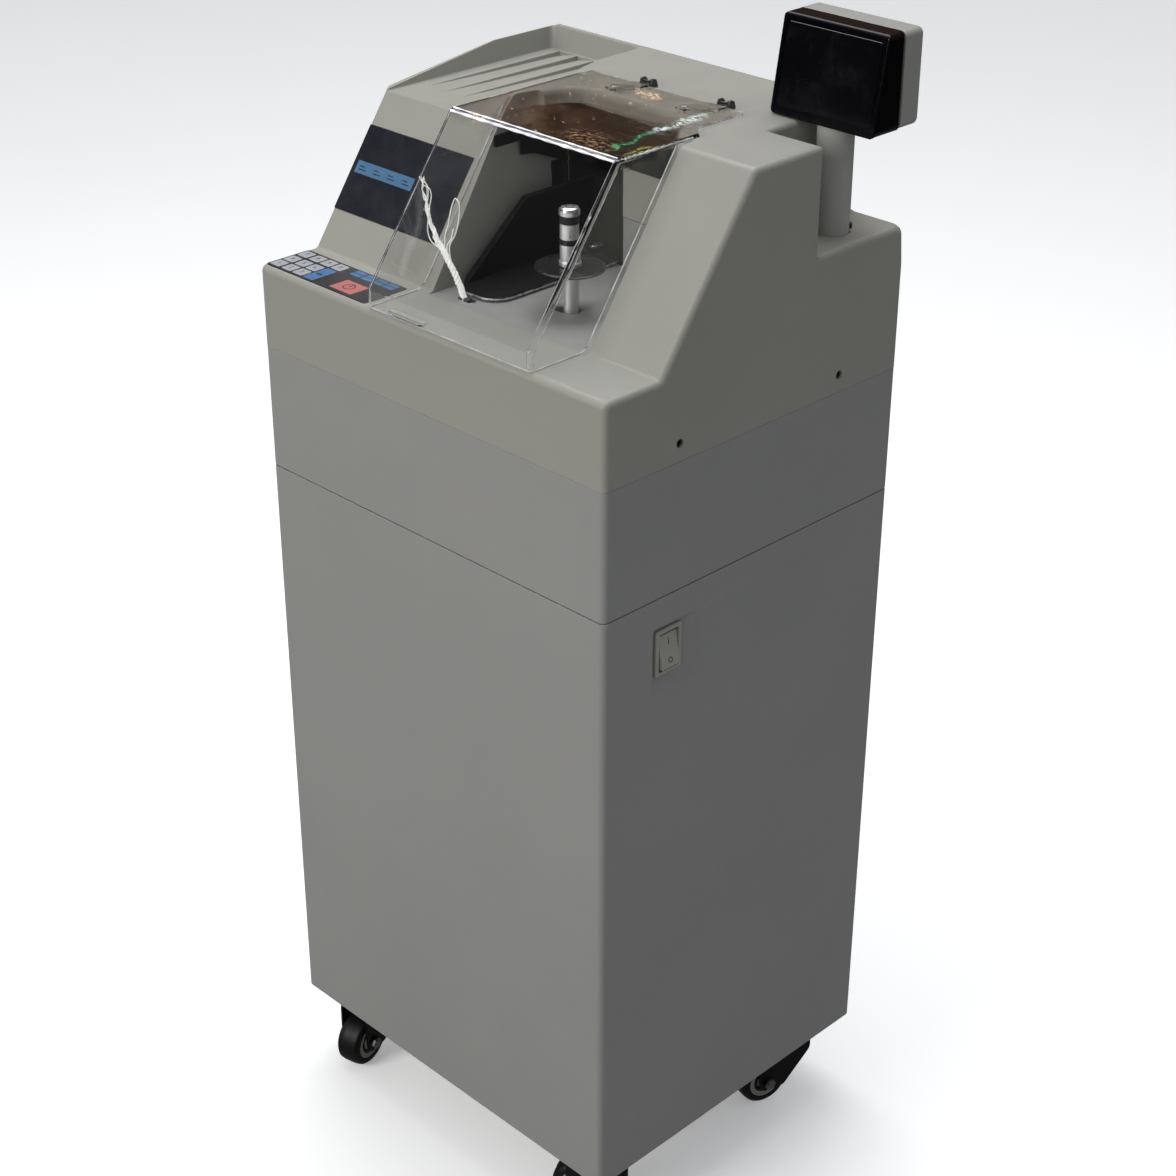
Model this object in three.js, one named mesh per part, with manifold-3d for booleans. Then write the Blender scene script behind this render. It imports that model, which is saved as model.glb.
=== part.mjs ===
// Banknote counting machine, vacuum spindle type, on a wheeled floor cabinet.
// Units are millimetres. +X is the machine's right hand side seen from the
// front, +Y points to the back and +Z points up. Z = 0 is the floor. Pieces
// are laid out about the cabinet's middle and moved by FRAME_X at the end.
import * as THREE from 'three';
import { mergeVertices } from 'three/addons/utils/BufferGeometryUtils.js';
import ManifoldModule from 'manifold-3d';

const wasm = await ManifoldModule();
wasm.setup();
const { Manifold, Mesh: ManifoldMesh } = wasm;

// ---------------------------------------------------------------- dimensions
const HALF_W = 450 / 2;       // cabinet, along X
const HALF_D = 383 / 2;       // cabinet, along Y
const CASTER_H = 92;          // floor to underside of the cabinet
const CABINET_Z = CASTER_H;   // cabinet underside
const BAND_Z = 722.9;         // seam between cabinet and mid band
const COVER_Z = 846.3;        // seam between mid band and upper cover
const LEDGE_Z = 926.6;        // front ledge of the upper cover
const TOP_Z = 1082.5;         // flat top of the upper cover
const NOTCH_Z = 984;          // floor of the pole notch
const TRAY_Z = 1058;          // floor of the tray on the left
const EDGE_R = 6;             // rounding of the outer vertical edges
const GAP = 0.3;              // working gap between neighbouring pieces
const SHEET = 2.5;            // cabinet sheet
const SKIN = 3;               // moulded cover skin
const FLOOR_Z = CABINET_Z + SHEET + GAP; // where pieces stand in the cabinet
const CABINET_TOP = BAND_Z - 1.5;
const DOORWAY_X = 205;        // half width of the rear doorway
const DOORWAY_Z0 = CABINET_Z + 20;
const DOORWAY_Z1 = BAND_Z - 22;
const LOCK_X = 170, LOCK_Z = 430;
const SWITCH_X = HALF_W - 5.5; // floor of the switch pocket
const SCREW_YS = { front: -101.3, rear: 107.2 };
const SCREW_Z = 863.1;

const SLOPE_FOOT_Y = -125.5;  // slope meets the ledge
const SLOPE_HEAD_Y = -17;     // slope meets the top
const SLOPE_RUN = SLOPE_HEAD_Y - SLOPE_FOOT_Y;
const SLOPE_RISE = TOP_Z - LEDGE_Z;
const SLOPE_LENGTH = Math.hypot(SLOPE_RUN, SLOPE_RISE);
const WINDOW_Z0 = 959.6, WINDOW_Z1 = 1030; // display window bed on the slope

const WELL_LEFT = -57;        // well, left wall at deck level
const WELL_LEFT_TOP = -66;    // well, left wall at the crease
const WELL_RIGHT = 141;
const WELL_REAR = 45;
const DECK_FRONT = -130;
const DECK_T = 2;
const DECK_Z = LEDGE_Z - 0.8; // upper face of the deck

const POLE_X = 188, POLE_Y = 129.5, POLE_R = 16.5;
const HEAD_W = 119, HEAD_H = 84.5, HEAD_Z = 1085.2;
const SPIN_X = 57, SPIN_Y = -65.5;
const DISC_Z = 967, DISC_R = 30.8;
const SPINDLE = [SPIN_X, SPIN_Y, DISC_Z];
const COLUMN_R = 8.4;
const MOTOR_Y = 40;
const PULLEY_R = 19, MOTOR_PULLEY_R = 12;  // flange radii
const FLANGE_H = 2.5;         // flange height above the pulley groove
const HOLD_X = -28, HOLD_Y = 50; // holder pivot
const HOLD_END = 69;          // rear end of the holder
const HOLD_Z = LEDGE_Z + 0.6; // underside of the holder

const CLEAR_T = 2.5;          // clear cover sheet
const CLEAR_X0 = -72, CLEAR_X1 = 137;
const CLEAR_Z = 1083.3;       // underside of the clear cover's flat top
const CLEAR_TOP = CLEAR_Z + CLEAR_T;
const HINGE_Y = 89, HINGE_Z = 1087.3;

const WHEEL_R = 29, WHEEL_W = 27;
const TRAIL = 29.4;           // swivel axis to wheel axle
const SWIVEL_X = 182, SWIVEL_Y = 133.4;
// name, swivel x, swivel y, yaw in degrees
const CASTERS = [
  ['front_left', -SWIVEL_X, -SWIVEL_Y, 14],
  ['front_right', SWIVEL_X, -SWIVEL_Y, -62],
  ['rear_left', -SWIVEL_X, SWIVEL_Y, 8],
  ['rear_right', SWIVEL_X, SWIVEL_Y, -14],
];
// The display head overhangs the right side, so the middle of the whole
// outline lies this far to the right of the cabinet's middle.
const FRAME_X = (HEAD_W / 2 + POLE_X - HALF_W) / 2;

// ----------------------------------------------------------------- materials
const finish = (color, roughness, metalness, more) => ({ color, roughness, metalness, ...more });
// colour, roughness, metalness
const FINISH = {
  greyPaint: finish(0xa9a7a1, 0.55, 0.1),
  beigePlastic: finish(0xaeaca2, 0.5, 0),
  lock: finish(0xb9babc, 0.3, 0.9),
  stripSteel: finish(0xb9babc, 0.25, 0.95),
  keypad: finish(0x16171a, 0.4, 0),
  window: finish(0x1c1f2a, 0.2, 0),
  deck: finish(0x9a9a96, 0.38, 0.75),
  recess: finish(0x141416, 0.6, 0),
  bracket: finish(0x141416, 0.5, 0),
  holder: finish(0x141416, 0.45, 0),
  pin: finish(0x8d9092, 0.35, 0.8),
  column: finish(0xb4b5b5, 0.3, 0.9),
  band: finish(0x101010, 0.5, 0),
  cap: finish(0xd0d1d3, 0.12, 1),
  disc: finish(0x2a2a2c, 0.35, 0.4),
  pulley: finish(0x3a3b3d, 0.5, 0.3),
  shelf: finish(0x8f9193, 0.4, 0.8),
  motor: finish(0x6f7275, 0.4, 0.7),
  belt: finish(0x1a1a1a, 0.8, 0),
  hose: finish(0x2b2b2d, 0.7, 0),
  pump: finish(0x55585b, 0.5, 0.5),
  powerSupply: finish(0x77797b, 0.45, 0.6),
  filter: finish(0x7d8084, 0.5, 0.2),
  board: finish(0x1f5a35, 0.6, 0.1),
  sideScrew: finish(0x2c2d2e, 0.4, 0.8),
  bezel: finish(0xb3b1a0, 0.45, 0),
  rocker: finish(0xc6c4b0, 0.4, 0),
  clear: finish(0xdfe3e2, 0.05, 0, { transparent: true, opacity: 0.35 }),
  hinge: finish(0x2a2a2b, 0.45, 0.3),
  leaf: finish(0x9a9c9e, 0.3, 0.8),
  pole: finish(0xa6a8a6, 0.45, 0.2),
  poleScrew: finish(0x1c1c1d, 0.4, 0.6),
  rearHousing: finish(0xa4a6a3, 0.5, 0),
  frontHousing: finish(0x0d0d10, 0.15, 0),
  lens: finish(0x08080b, 0.08, 0),
  cord: finish(0xe8e6df, 0.95, 0),
  fork: finish(0x17181a, 0.4, 0.3),
  tyre: finish(0x121214, 0.35, 0),
  hub: finish(0x8c8b86, 0.5, 0.1),
  axle: finish(0xa9abad, 0.3, 0.9),
};

// ------------------------------------------------------------------- helpers
// Welds a closed geometry and turns it into a solid with outward faces.
function solid(geometry) {
  for (const key of Object.keys(geometry.attributes)) {
    if (key !== 'position') geometry.deleteAttribute(key);
  }
  const welded = mergeVertices(geometry, 1e-4);
  const positions = welded.attributes.position.array;
  const index = welded.index.array;
  const corner = i => new THREE.Vector3().fromArray(positions, 3 * i);
  const tri = [];
  let volume = 0;
  for (let i = 0; i < index.length; i += 3) {
    const [a, b, c] = index.slice(i, i + 3);
    if (a === b || b === c || a === c) continue;
    tri.push(a, b, c);
    volume += corner(a).dot(corner(b).cross(corner(c)));
  }
  if (volume < 0) {
    for (let i = 0; i < tri.length; i += 3) [tri[i], tri[i + 1]] = [tri[i + 1], tri[i]];
  }
  return new Manifold(new ManifoldMesh({
    numProp: 3,
    vertProperties: Float32Array.from(positions),
    triVerts: Uint32Array.from(tri),
  }));
}

const group = new THREE.Group();
group.name = 'banknote_counting_machine';
function part(name, shape, look) {
  const { vertProperties, triVerts } = shape.translate([-FRAME_X, 0, 0]).getMesh();
  const geometry = new THREE.BufferGeometry();
  geometry.setAttribute('position', new THREE.BufferAttribute(vertProperties.slice(), 3));
  geometry.setIndex(Array.from(triVerts));
  geometry.computeVertexNormals();
  const mesh = new THREE.Mesh(geometry, new THREE.MeshStandardMaterial(look));
  mesh.name = name;
  group.add(mesh);
}

const add = (...shapes) => shapes.reduce((a, b) => a.add(b));
const cut = (...shapes) => shapes.reduce((a, b) => a.subtract(b));
const both = (a, b) => a.intersect(b);

// Outline corners are [u, v, radius]; a corner with a radius gets an arc of seg steps.
function filleted(corners, seg) {
  const out = [];
  corners.forEach(([u, v, radius = 0], i) => {
    const corner = new THREE.Vector2(u, v);
    if (!radius) {
      out.push(corner);
      return;
    }
    const toward = ([pu, pv]) => new THREE.Vector2(pu, pv).sub(corner).normalize();
    const back = toward(corners.at(i - 1));
    const ahead = toward(corners[(i + 1) % corners.length]);
    const half = Math.acos(THREE.MathUtils.clamp(back.dot(ahead), -1, 1)) / 2;
    const reach = radius / Math.tan(half);
    const centre = back.clone().add(ahead).setLength(radius / Math.sin(half)).add(corner);
    const angleTo = side => {
      const touch = side.clone().multiplyScalar(reach).add(corner).sub(centre);
      return Math.atan2(touch.y, touch.x);
    };
    const start = angleTo(back);
    let sweep = angleTo(ahead) - start;
    if (sweep > Math.PI) sweep -= 2 * Math.PI;
    if (sweep < -Math.PI) sweep += 2 * Math.PI;
    for (let k = 0; k <= seg; k++) {
      const angle = start + sweep * k / seg;
      out.push(new THREE.Vector2(Math.cos(angle), Math.sin(angle)).multiplyScalar(radius).add(centre));
    }
  });
  return out;
}
function extrude(outline, length, seg = 4, bevel = 0, bevelSegments = 3) {
  return new THREE.ExtrudeGeometry(new THREE.Shape(filleted(outline, seg)), {
    depth: length - 2 * bevel,
    bevelEnabled: bevel > 0,
    bevelSize: bevel,
    bevelThickness: bevel,
    bevelOffset: -bevel,
    bevelSegments,
  }).translate(0, 0, bevel);
}
const TURN_TO_X = new THREE.Matrix4().set(0, 0, 1, 0, 1, 0, 0, 0, 0, 1, 0, 0, 0, 0, 0, 1);
const TURN_TO_Y = new THREE.Matrix4().set(0, 1, 0, 0, 0, 0, 1, 0, 1, 0, 0, 0, 0, 0, 0, 1);
// [y, z] outline swept along X, [z, x] outline along Y, [x, y] outline along Z.
// round: fillet segments, end bevel, bevel segments
const alongX = (outline, x0, x1, ...round) =>
  solid(extrude(outline, x1 - x0, ...round).applyMatrix4(TURN_TO_X).translate(x0, 0, 0));
const alongY = (outline, y0, y1, ...round) =>
  solid(extrude(outline, y1 - y0, ...round).applyMatrix4(TURN_TO_Y).translate(0, y0, 0));
const alongZ = (outline, z0, z1, ...round) =>
  solid(extrude(outline, z1 - z0, ...round).translate(0, 0, z0));
const rect = (u0, u1, v0, v1, r = 0) => [[u0, v0, r], [u1, v0, r], [u1, v1, r], [u0, v1, r]];
function box(x0, x1, y0, y1, z0, z1) {
  return solid(new THREE.BoxGeometry(x1 - x0, y1 - y0, z1 - z0)
    .translate((x0 + x1) / 2, (y0 + y1) / 2, (z0 + z1) / 2));
}
const lathe = (profile, seg) =>
  new THREE.LatheGeometry(profile.map(([r, h]) => new THREE.Vector2(r, h)), seg);
// Upright turned piece: [radius, height above z] outline, both ends on the axis.
const turned = (profile, [x, y, z = 0], seg = 24) =>
  solid(lathe(profile, seg).rotateX(Math.PI / 2).translate(x, y, z));
// Ring: outline that never reaches the axis, closed here.
const closed = profile => [...profile, profile[0]];
const ring = (profile, place, seg) => turned(closed(profile), place, seg);
const cylinder = (r, length, seg) => new THREE.CylinderGeometry(r, r, length, seg);
const rod = (x, y, r, z0, z1, seg = 16) =>
  solid(cylinder(r, z1 - z0, seg).rotateX(Math.PI / 2).translate(x, y, (z0 + z1) / 2));
const rodX = (y, z, r, x0, x1, seg = 12) =>
  solid(cylinder(r, x1 - x0, seg).rotateZ(Math.PI / 2).translate((x0 + x1) / 2, y, z));
const rodY = (x, z, r, y0, y1, seg = 20) =>
  solid(cylinder(r, y1 - y0, seg).translate(x, (y0 + y1) / 2, z));
// Octagonal bar swept along a smooth path.
function bar(points, r, steps) {
  const sides = 8;
  const shape = new THREE.Shape(Array.from({ length: sides }, (_, k) => {
    const angle = 2 * Math.PI * k / sides;
    return new THREE.Vector2(r * Math.cos(angle), r * Math.sin(angle));
  }));
  const knots = points.map(p => new THREE.Vector3(...p));
  const extrudePath = new THREE.CatmullRomCurve3(knots, false, 'centripetal');
  return solid(new THREE.ExtrudeGeometry(shape, { steps, extrudePath, bevelEnabled: false }));
}
// Straight-sided solid between two 3D outlines with the same number of corners.
function loft(lower, upper) {
  const n = lower.length;
  const index = [];
  for (let i = 0; i < n; i++) {
    const j = (i + 1) % n;
    index.push(i, j, n + j, i, n + j, n + i);
  }
  // The caps are triangulated across the outline's two widest directions.
  const span = [0, 1, 2].map(axis => {
    const values = lower.map(p => p[axis]);
    return Math.max(...values) - Math.min(...values);
  });
  const [u, v] = [[1, 2], [0, 2], [0, 1]][span.indexOf(Math.min(...span))];
  const flat = THREE.ShapeUtils.triangulateShape(
    lower.map(p => new THREE.Vector2(p[u], p[v])), []);
  // The lower cap must run against the side walls along their shared edges.
  const withWall = (a, b) => b === (a + 1) % n;
  const flip = flat.some(([a, b, c]) => withWall(a, b) || withWall(b, c) || withWall(c, a));
  for (const [a, b, c] of flat) {
    index.push(...(flip ? [c, b, a] : [a, b, c]));
    index.push(...(flip ? [n + a, n + b, n + c] : [n + c, n + b, n + a]));
  }
  const geometry = new THREE.BufferGeometry();
  const positions = [...lower, ...upper].flat();
  geometry.setAttribute('position', new THREE.Float32BufferAttribute(positions, 3));
  geometry.setIndex(index);
  return solid(geometry);
}
const quadAtX = (x, y0, y1, z0, z1) => [[x, y0, z0], [x, y1, z0], [x, y1, z1], [x, y0, z1]];
const placed = (shape, x, y, yaw) => shape.rotate([0, 0, yaw]).translate([x, y, 0]);

// Plan of the cabinet, moved inwards by inset.
const plan = (inset, r = EDGE_R - inset) =>
  rect(-HALF_W + inset, HALF_W - inset, -HALF_D + inset, HALF_D - inset, r);
const slopeY = z => SLOPE_FOOT_Y + (z - LEDGE_Z) * SLOPE_RUN / SLOPE_RISE;
// [y, z] point moved out of the slope's face by distance.
const offSlope = (y, z, distance) =>
  [y - distance * SLOPE_RISE / SLOPE_LENGTH, z + distance * SLOPE_RUN / SLOPE_LENGTH];

// ------------------------------------------------------------ lower cabinet
function lowerCabinet() {
  let m = cut(
    alongZ(plan(0), CABINET_Z, CABINET_TOP, 3),
    alongZ(plan(SHEET), CABINET_Z + SHEET, CABINET_TOP - SHEET, 3),
    // opening in the top plate, then the rear doorway
    box(-170, 170, -140, 140, BAND_Z - 10, BAND_Z + 10),
    box(-DOORWAY_X, DOORWAY_X, HALF_D - 10, HALF_D + 10, DOORWAY_Z0, DOORWAY_Z1));
  // pocket round the mains switch on the right side, widening outwards
  const pocket = loft(
    quadAtX(SWITCH_X, -127, -87.5, 639, 690.8),
    quadAtX(HALF_W + 1, -129.8, -68, 622.5, 693.4));
  const pocketSkin = loft(
    quadAtX(HALF_W - 8, -129.5, -84, 635.5, 693.3),
    quadAtX(HALF_W - 1, -132.5, -66, 620, 695.5));
  m = cut(add(m, pocketSkin), pocket);
  m = cut(m, box(HALF_W - 30, HALF_W - 3, -121.2, -92.4, 643.2, 685.8));
  // caster plates under the floor
  const half = 26;
  for (const [, x, y] of CASTERS) {
    const plate = rect(x - half, x + half, y - half, y + half, 5);
    m = add(m, alongZ(plate, CABINET_Z - 2.5, CABINET_Z + 1, 2));
  }
  return m;
}
part('lower_cabinet', lowerCabinet(), FINISH.greyPaint);

// Door sheet with a folded inner tray, six level slots and a lock hole.
function rearDoor() {
  const outline = (insetZ, insetX) => rect(
    DOORWAY_Z0 + 1 + insetZ, DOORWAY_Z1 - 1 - insetZ,
    -DOORWAY_X + 1 + insetX, DOORWAY_X - 1 - insetX);
  let m = add(
    alongY(outline(0, 0), HALF_D - 2.5, HALF_D),
    alongY(outline(8, 12), HALF_D - 14, HALF_D - 1));
  m = cut(m, alongY(outline(10, 14), HALF_D - 20, HALF_D - 2.5));
  const slotPitch = 14, slotH = 6;
  for (let k = 0; k < 6; k++) {
    const z = 560 + k * slotPitch;
    m = cut(m, alongY(rect(z, z + slotH, -60, 60), HALF_D - 4, HALF_D + 1));
  }
  return cut(m, rodY(LOCK_X, LOCK_Z, 9.4, HALF_D - 20, HALF_D + 5));
}
part('rear_door', rearDoor(), FINISH.greyPaint);

// barrel, outer collar and inner tongue, with a key slot
part('door_lock', cut(
  add(
    rodY(LOCK_X, LOCK_Z, 9, HALF_D - 12, HALF_D + 2),
    rodY(LOCK_X, LOCK_Z, 11.5, HALF_D + 0.3, HALF_D + 3),
    alongY(rect(LOCK_Z - 6, LOCK_Z + 6, LOCK_X - 14, LOCK_X + 6), HALF_D - 14, HALF_D - 11.5)),
  box(LOCK_X - 0.8, LOCK_X + 0.8, HALF_D + 1.5, HALF_D + 4, LOCK_Z - 5, LOCK_Z + 5),
), FINISH.lock);

// ----------------------------------------------------------------- mid band
function midBand() {
  const lipTop = BAND_Z + 2.5;
  const opening = box(-205, 205, -172, 172, BAND_Z - 5, BAND_Z + 5);
  const walls = cut(
    alongZ(plan(0), BAND_Z, COVER_Z - GAP, 3),
    alongZ(plan(SHEET), BAND_Z - 1, COVER_Z + 1, 3));
  // flange that runs into the walls, and a lip that hangs below the seam
  const flange = cut(alongZ(plan(SHEET - 1, EDGE_R - SHEET), BAND_Z, lipTop, 3), opening);
  const lip = cut(alongZ(plan(SHEET), BAND_Z - 1.2, lipTop, 3), opening);
  return add(walls, flange, lip);
}
part('mid_band', midBand(), FINISH.greyPaint);

// -------------------------------------------------------------- upper cover
const SKIRT_Z = COVER_Z - 30; // the cover is built down to here, then trimmed at the seam
const coverBlock = alongX([
  [-HALF_D, SKIRT_Z], [HALF_D, SKIRT_Z], [HALF_D, TOP_Z, 6.6],
  [SLOPE_HEAD_Y, TOP_Z, 6.6], [SLOPE_FOOT_Y, LEDGE_Z, 4], [-HALF_D, LEDGE_Z, 6.6],
], -HALF_W, HALF_W, 3, EDGE_R);

function coverHollow() {
  // shift of the slope's inner corners that keeps the skin even
  const shift = SKIN * (SLOPE_LENGTH / SLOPE_RUN - 1) * SLOPE_RUN / SLOPE_RISE;
  const front = -HALF_D + SKIN, rear = HALF_D - SKIN;
  return alongX([
    [front, SKIRT_Z - 5], [rear, SKIRT_Z - 5], [rear, TOP_Z - SKIN],
    [SLOPE_HEAD_Y + shift, TOP_Z - SKIN], [SLOPE_FOOT_Y + shift, LEDGE_Z - SKIN],
    [front, LEDGE_Z - SKIN],
  ], -HALF_W + SKIN, HALF_W - SKIN);
}

// Notch for the pole at the rear right.
function withPoleNotch(cover) {
  const walls = both(coverBlock, box(160, HALF_W, 67, HALF_D, NOTCH_Z - SKIN, TOP_Z));
  const notch = rect(70, HALF_D + 20, NOTCH_Z, TOP_Z + 20);
  // what lies outside the rounded right edge of the notch floor
  const edgeWaste = cut(
    box(HALF_W - 5, HALF_W + 5, 60, HALF_D + 5, NOTCH_Z - 5, NOTCH_Z + 5),
    alongY([
      [NOTCH_Z - 10, HALF_W - 20], [NOTCH_Z, HALF_W - 20],
      [NOTCH_Z, HALF_W, 5], [NOTCH_Z - 10, HALF_W],
    ], 55, HALF_D + 10, 2),
    box(HALF_W - 8, HALF_W + 8, 40, 70, NOTCH_Z - 8, NOTCH_Z + 8));
  return cut(
    add(cover, walls),
    alongX(notch, 163, HALF_W + 20),
    rod(POLE_X, POLE_Y, POLE_R + 0.6, NOTCH_Z - 10, NOTCH_Z + 5, 24),
    edgeWaste);
}

// Tray outline at height z, widened by grow.
const trayOutline = (z, grow) => [
  [-60, -60, z], [-79 + grow, 10, z], [-86 + grow, 64, z], [-102 + grow, 119, z],
  [-104 + grow, 180 + grow, z], [-219 - grow, 180 + grow, z], [-219 - grow, -60, z],
];
const trayHollow = loft(trayOutline(TRAY_Z, 0), trayOutline(TOP_Z + 20, 11));

// Tray on the left top; the left rim climbs to the rear corner.
function withTray(cover) {
  const walls = both(coverBlock, loft(trayOutline(TRAY_Z - SKIN, 3), trayOutline(TOP_Z, 12)));
  const rimWaste = alongX([
    [-60, TRAY_Z + 1], [-33.5, TRAY_Z + 2], [107, TOP_Z - 3.5],
    [HALF_D + 10, TOP_Z - 3.5], [HALF_D + 10, TOP_Z + 30], [-60, TOP_Z + 30],
  ], -HALF_W - 5, -218);
  const rearWaste = box(-HALF_W - 5, -215, 176, HALF_D + 5, TOP_Z - 1.5, TOP_Z + 20);
  let m = cut(add(cover, walls), trayHollow, rimWaste, rearWaste);
  // tapering grooves in the tray floor: left x, right x, rear y
  const grooves = [[-205, -191, 175], [-180, -166, 175], [-156, -145, 172], [-137, -127, 130]];
  for (const [x0, x1, y] of grooves) {
    const depth = 2.2 * (y / 175);
    const top = TRAY_Z + 3;
    m = cut(m, loft(
      [[x0, 0, TRAY_Z - 0.02], [x1, 0, TRAY_Z - 0.02], [x1, y, TRAY_Z - 0.3], [x0, y, TRAY_Z - depth]],
      [[x0, 0, top], [x1, 0, top], [x1, y, top], [x0, y, top]]));
  }
  return m;
}

// Note well: walls first, then the cavity and its mouth.
function withWell(cover) {
  const front = -HALF_D - 20;
  const walls = both(coverBlock, alongY([
    [LEDGE_Z - SKIN, WELL_LEFT - SKIN - 1], [TOP_Z, WELL_LEFT_TOP - SKIN - 1],
    [TOP_Z, WELL_RIGHT + SKIN], [LEDGE_Z - SKIN, WELL_RIGHT + SKIN],
  ], SLOPE_FOOT_Y - 8, WELL_REAR + SKIN));
  const cavity = alongY([
    [LEDGE_Z - 0.01, WELL_LEFT], [TRAY_Z + 2, WELL_LEFT_TOP], [TOP_Z - 14, WELL_LEFT_TOP],
    [TOP_Z - 14, WELL_RIGHT], [LEDGE_Z - 0.01, WELL_RIGHT],
  ], front, WELL_REAR);
  const mouth = alongZ([
    [-58, front], [WELL_RIGHT, front], [WELL_RIGHT, -22, 1],
    [108, 14, 26], [92, 44, 30], [-52, 44, 34],
  ], TOP_Z - 16, TOP_Z + 20);
  const mouthLeft = alongZ([
    [WELL_LEFT_TOP, front], [-40, front], [-40, 10], [-58, 10, 6], [WELL_LEFT_TOP, -26],
  ], TRAY_Z - 2, TOP_Z + 20, 3);
  return cut(
    add(cover, cut(walls, trayHollow)),
    cavity, mouth, mouthLeft,
    // floor opening for the deck plate
    box(WELL_LEFT, WELL_RIGHT, DECK_FRONT, WELL_REAR, LEDGE_Z - 10, LEDGE_Z + 1),
    // rear wall: doorway of the black recess, and the low part behind the deck flange
    box(WELL_LEFT, 12, WELL_REAR - 1, WELL_REAR + 10, LEDGE_Z - 8, LEDGE_Z + 108),
    box(WELL_LEFT, WELL_RIGHT, WELL_REAR - 3, WELL_REAR + 10, LEDGE_Z - 8, LEDGE_Z + 47));
}

const keypadOutline = inset => rect(-221.3 + inset, -79 - inset, -187 + inset, -136 - inset, 3);

// Shallow beds for the keypad and the display window, and side screw holes.
function withBeds(cover) {
  const bedDepth = 1.2;
  const windowBed = [
    offSlope(slopeY(WINDOW_Z0), WINDOW_Z0, -bedDepth),
    offSlope(slopeY(WINDOW_Z1), WINDOW_Z1, -bedDepth),
    offSlope(slopeY(WINDOW_Z1), WINDOW_Z1, 6),
    offSlope(slopeY(WINDOW_Z0), WINDOW_Z0, 6),
  ];
  return cut(
    cover,
    alongZ(keypadOutline(0), LEDGE_Z - 0.8, LEDGE_Z + 5, 2),
    alongX(windowBed, -222.8, -78),
    ...Object.values(SCREW_YS).map(y => rodX(y, SCREW_Z, 4.2, HALF_W - 6, HALF_W + 6)));
}
const seamWaste = box(
  -HALF_W - 10, HALF_W + 10, -HALF_D - 10, HALF_D + 10, SKIRT_Z - 20, COVER_Z);
const coverShell = cut(coverBlock, coverHollow());
const upperCover = withBeds(withWell(withTray(withPoleNotch(coverShell))));
part('upper_cover', cut(upperCover, seamWaste), FINISH.beigePlastic);

part('keypad_overlay',
  alongZ(keypadOutline(0.4), LEDGE_Z - 0.5, LEDGE_Z + 0.3, 2), FINISH.keypad);

function displayWindow() {
  const y0 = slopeY(WINDOW_Z0) + 0.25, z0 = WINDOW_Z0 + 0.4;
  const y1 = slopeY(WINDOW_Z1) - 0.25, z1 = WINDOW_Z1 - 0.4;
  const under = -0.9, over = 0.2;
  return alongX([
    offSlope(y0, z0, under), offSlope(y1, z1, under),
    offSlope(y1, z1, over), offSlope(y0, z0, over),
  ], -222.4, -78.4);
}
part('display_window', displayWindow(), FINISH.window);

// --------------------------------------------------------- inside the well
// Folded deck sheet: flat floor with an upturned rear flange.
function deckPlate() {
  const front = DECK_FRONT + 0.4, flangeY = WELL_REAR + 0.3, left = WELL_LEFT - 5;
  const under = DECK_Z - 5, over = DECK_Z + 5;
  return cut(
    alongX([
      [front, DECK_Z - DECK_T], [flangeY + DECK_T, DECK_Z - DECK_T, 2.5],
      [flangeY + DECK_T, DECK_Z + 47], [flangeY, DECK_Z + 47],
      [flangeY, DECK_Z, 0.8], [front, DECK_Z],
    ], WELL_LEFT + 0.4, WELL_RIGHT - 0.4, 3),
    // no flange in front of the recess
    box(left, 12.4, WELL_REAR - 1, WELL_REAR + 10, DECK_Z + 0.01, DECK_Z + 80),
    box(left, 12.4, WELL_REAR - 0.3, WELL_REAR + 10, DECK_Z - 10, DECK_Z + 80),
    // spindle hole, the slot to its left and the clamp pin's slot
    rod(SPIN_X, SPIN_Y, 9, under, over, 24),
    alongZ(rect(SPIN_X - 14, SPIN_X, SPIN_Y - 5, SPIN_Y + 5, 3), under, over, 3),
    alongZ(rect(-33, -13, -119, -109, 4.9), under, over));
}
part('deck_plate', deckPlate(), FINISH.deck);

// black recess behind the left part of the well
part('well_recess', cut(
  box(WELL_LEFT + 0.5, 11.5, WELL_REAR + 0.4, 128, LEDGE_Z - 2.8, LEDGE_Z + 107.4),
  box(WELL_LEFT + 2.5, 9.5, WELL_REAR - 5, 126, LEDGE_Z - 0.8, LEDGE_Z + 105.4),
  rod(HOLD_X, HOLD_Y, 4.4, 900, 940),
), FINISH.recess);

// stepped black lining under the rim, along the left and rear walls
part('interlock_bracket', add(
  alongX([
    [-44, 1052], [-44, 1041], [-12, 1041], [-12, 1027.5], [4, 1025.5],
    [30, 1015.5], [44.2, 1010], [44.2, 1062], [12, 1062], [4, 1053],
  ], -61.6, -59.6),
  alongY([
    [1034.9, -61.6], [1066, -61.6], [1066, 80], [1045, 73],
    [1032, 68], [1021, 60], [1021.5, 13.2], [1034.9, 13.2],
  ], 42.2, 44.2),
), FINISH.bracket);

// clamp pin standing in its slot, with a collar near its top
part('clamp_pin', add(
  rod(-23, -114, 3.2, 900, 931, 20),
  rod(-23, -114, 3.9, 927.2, 930.6, 20),
), FINISH.pin);

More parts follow.
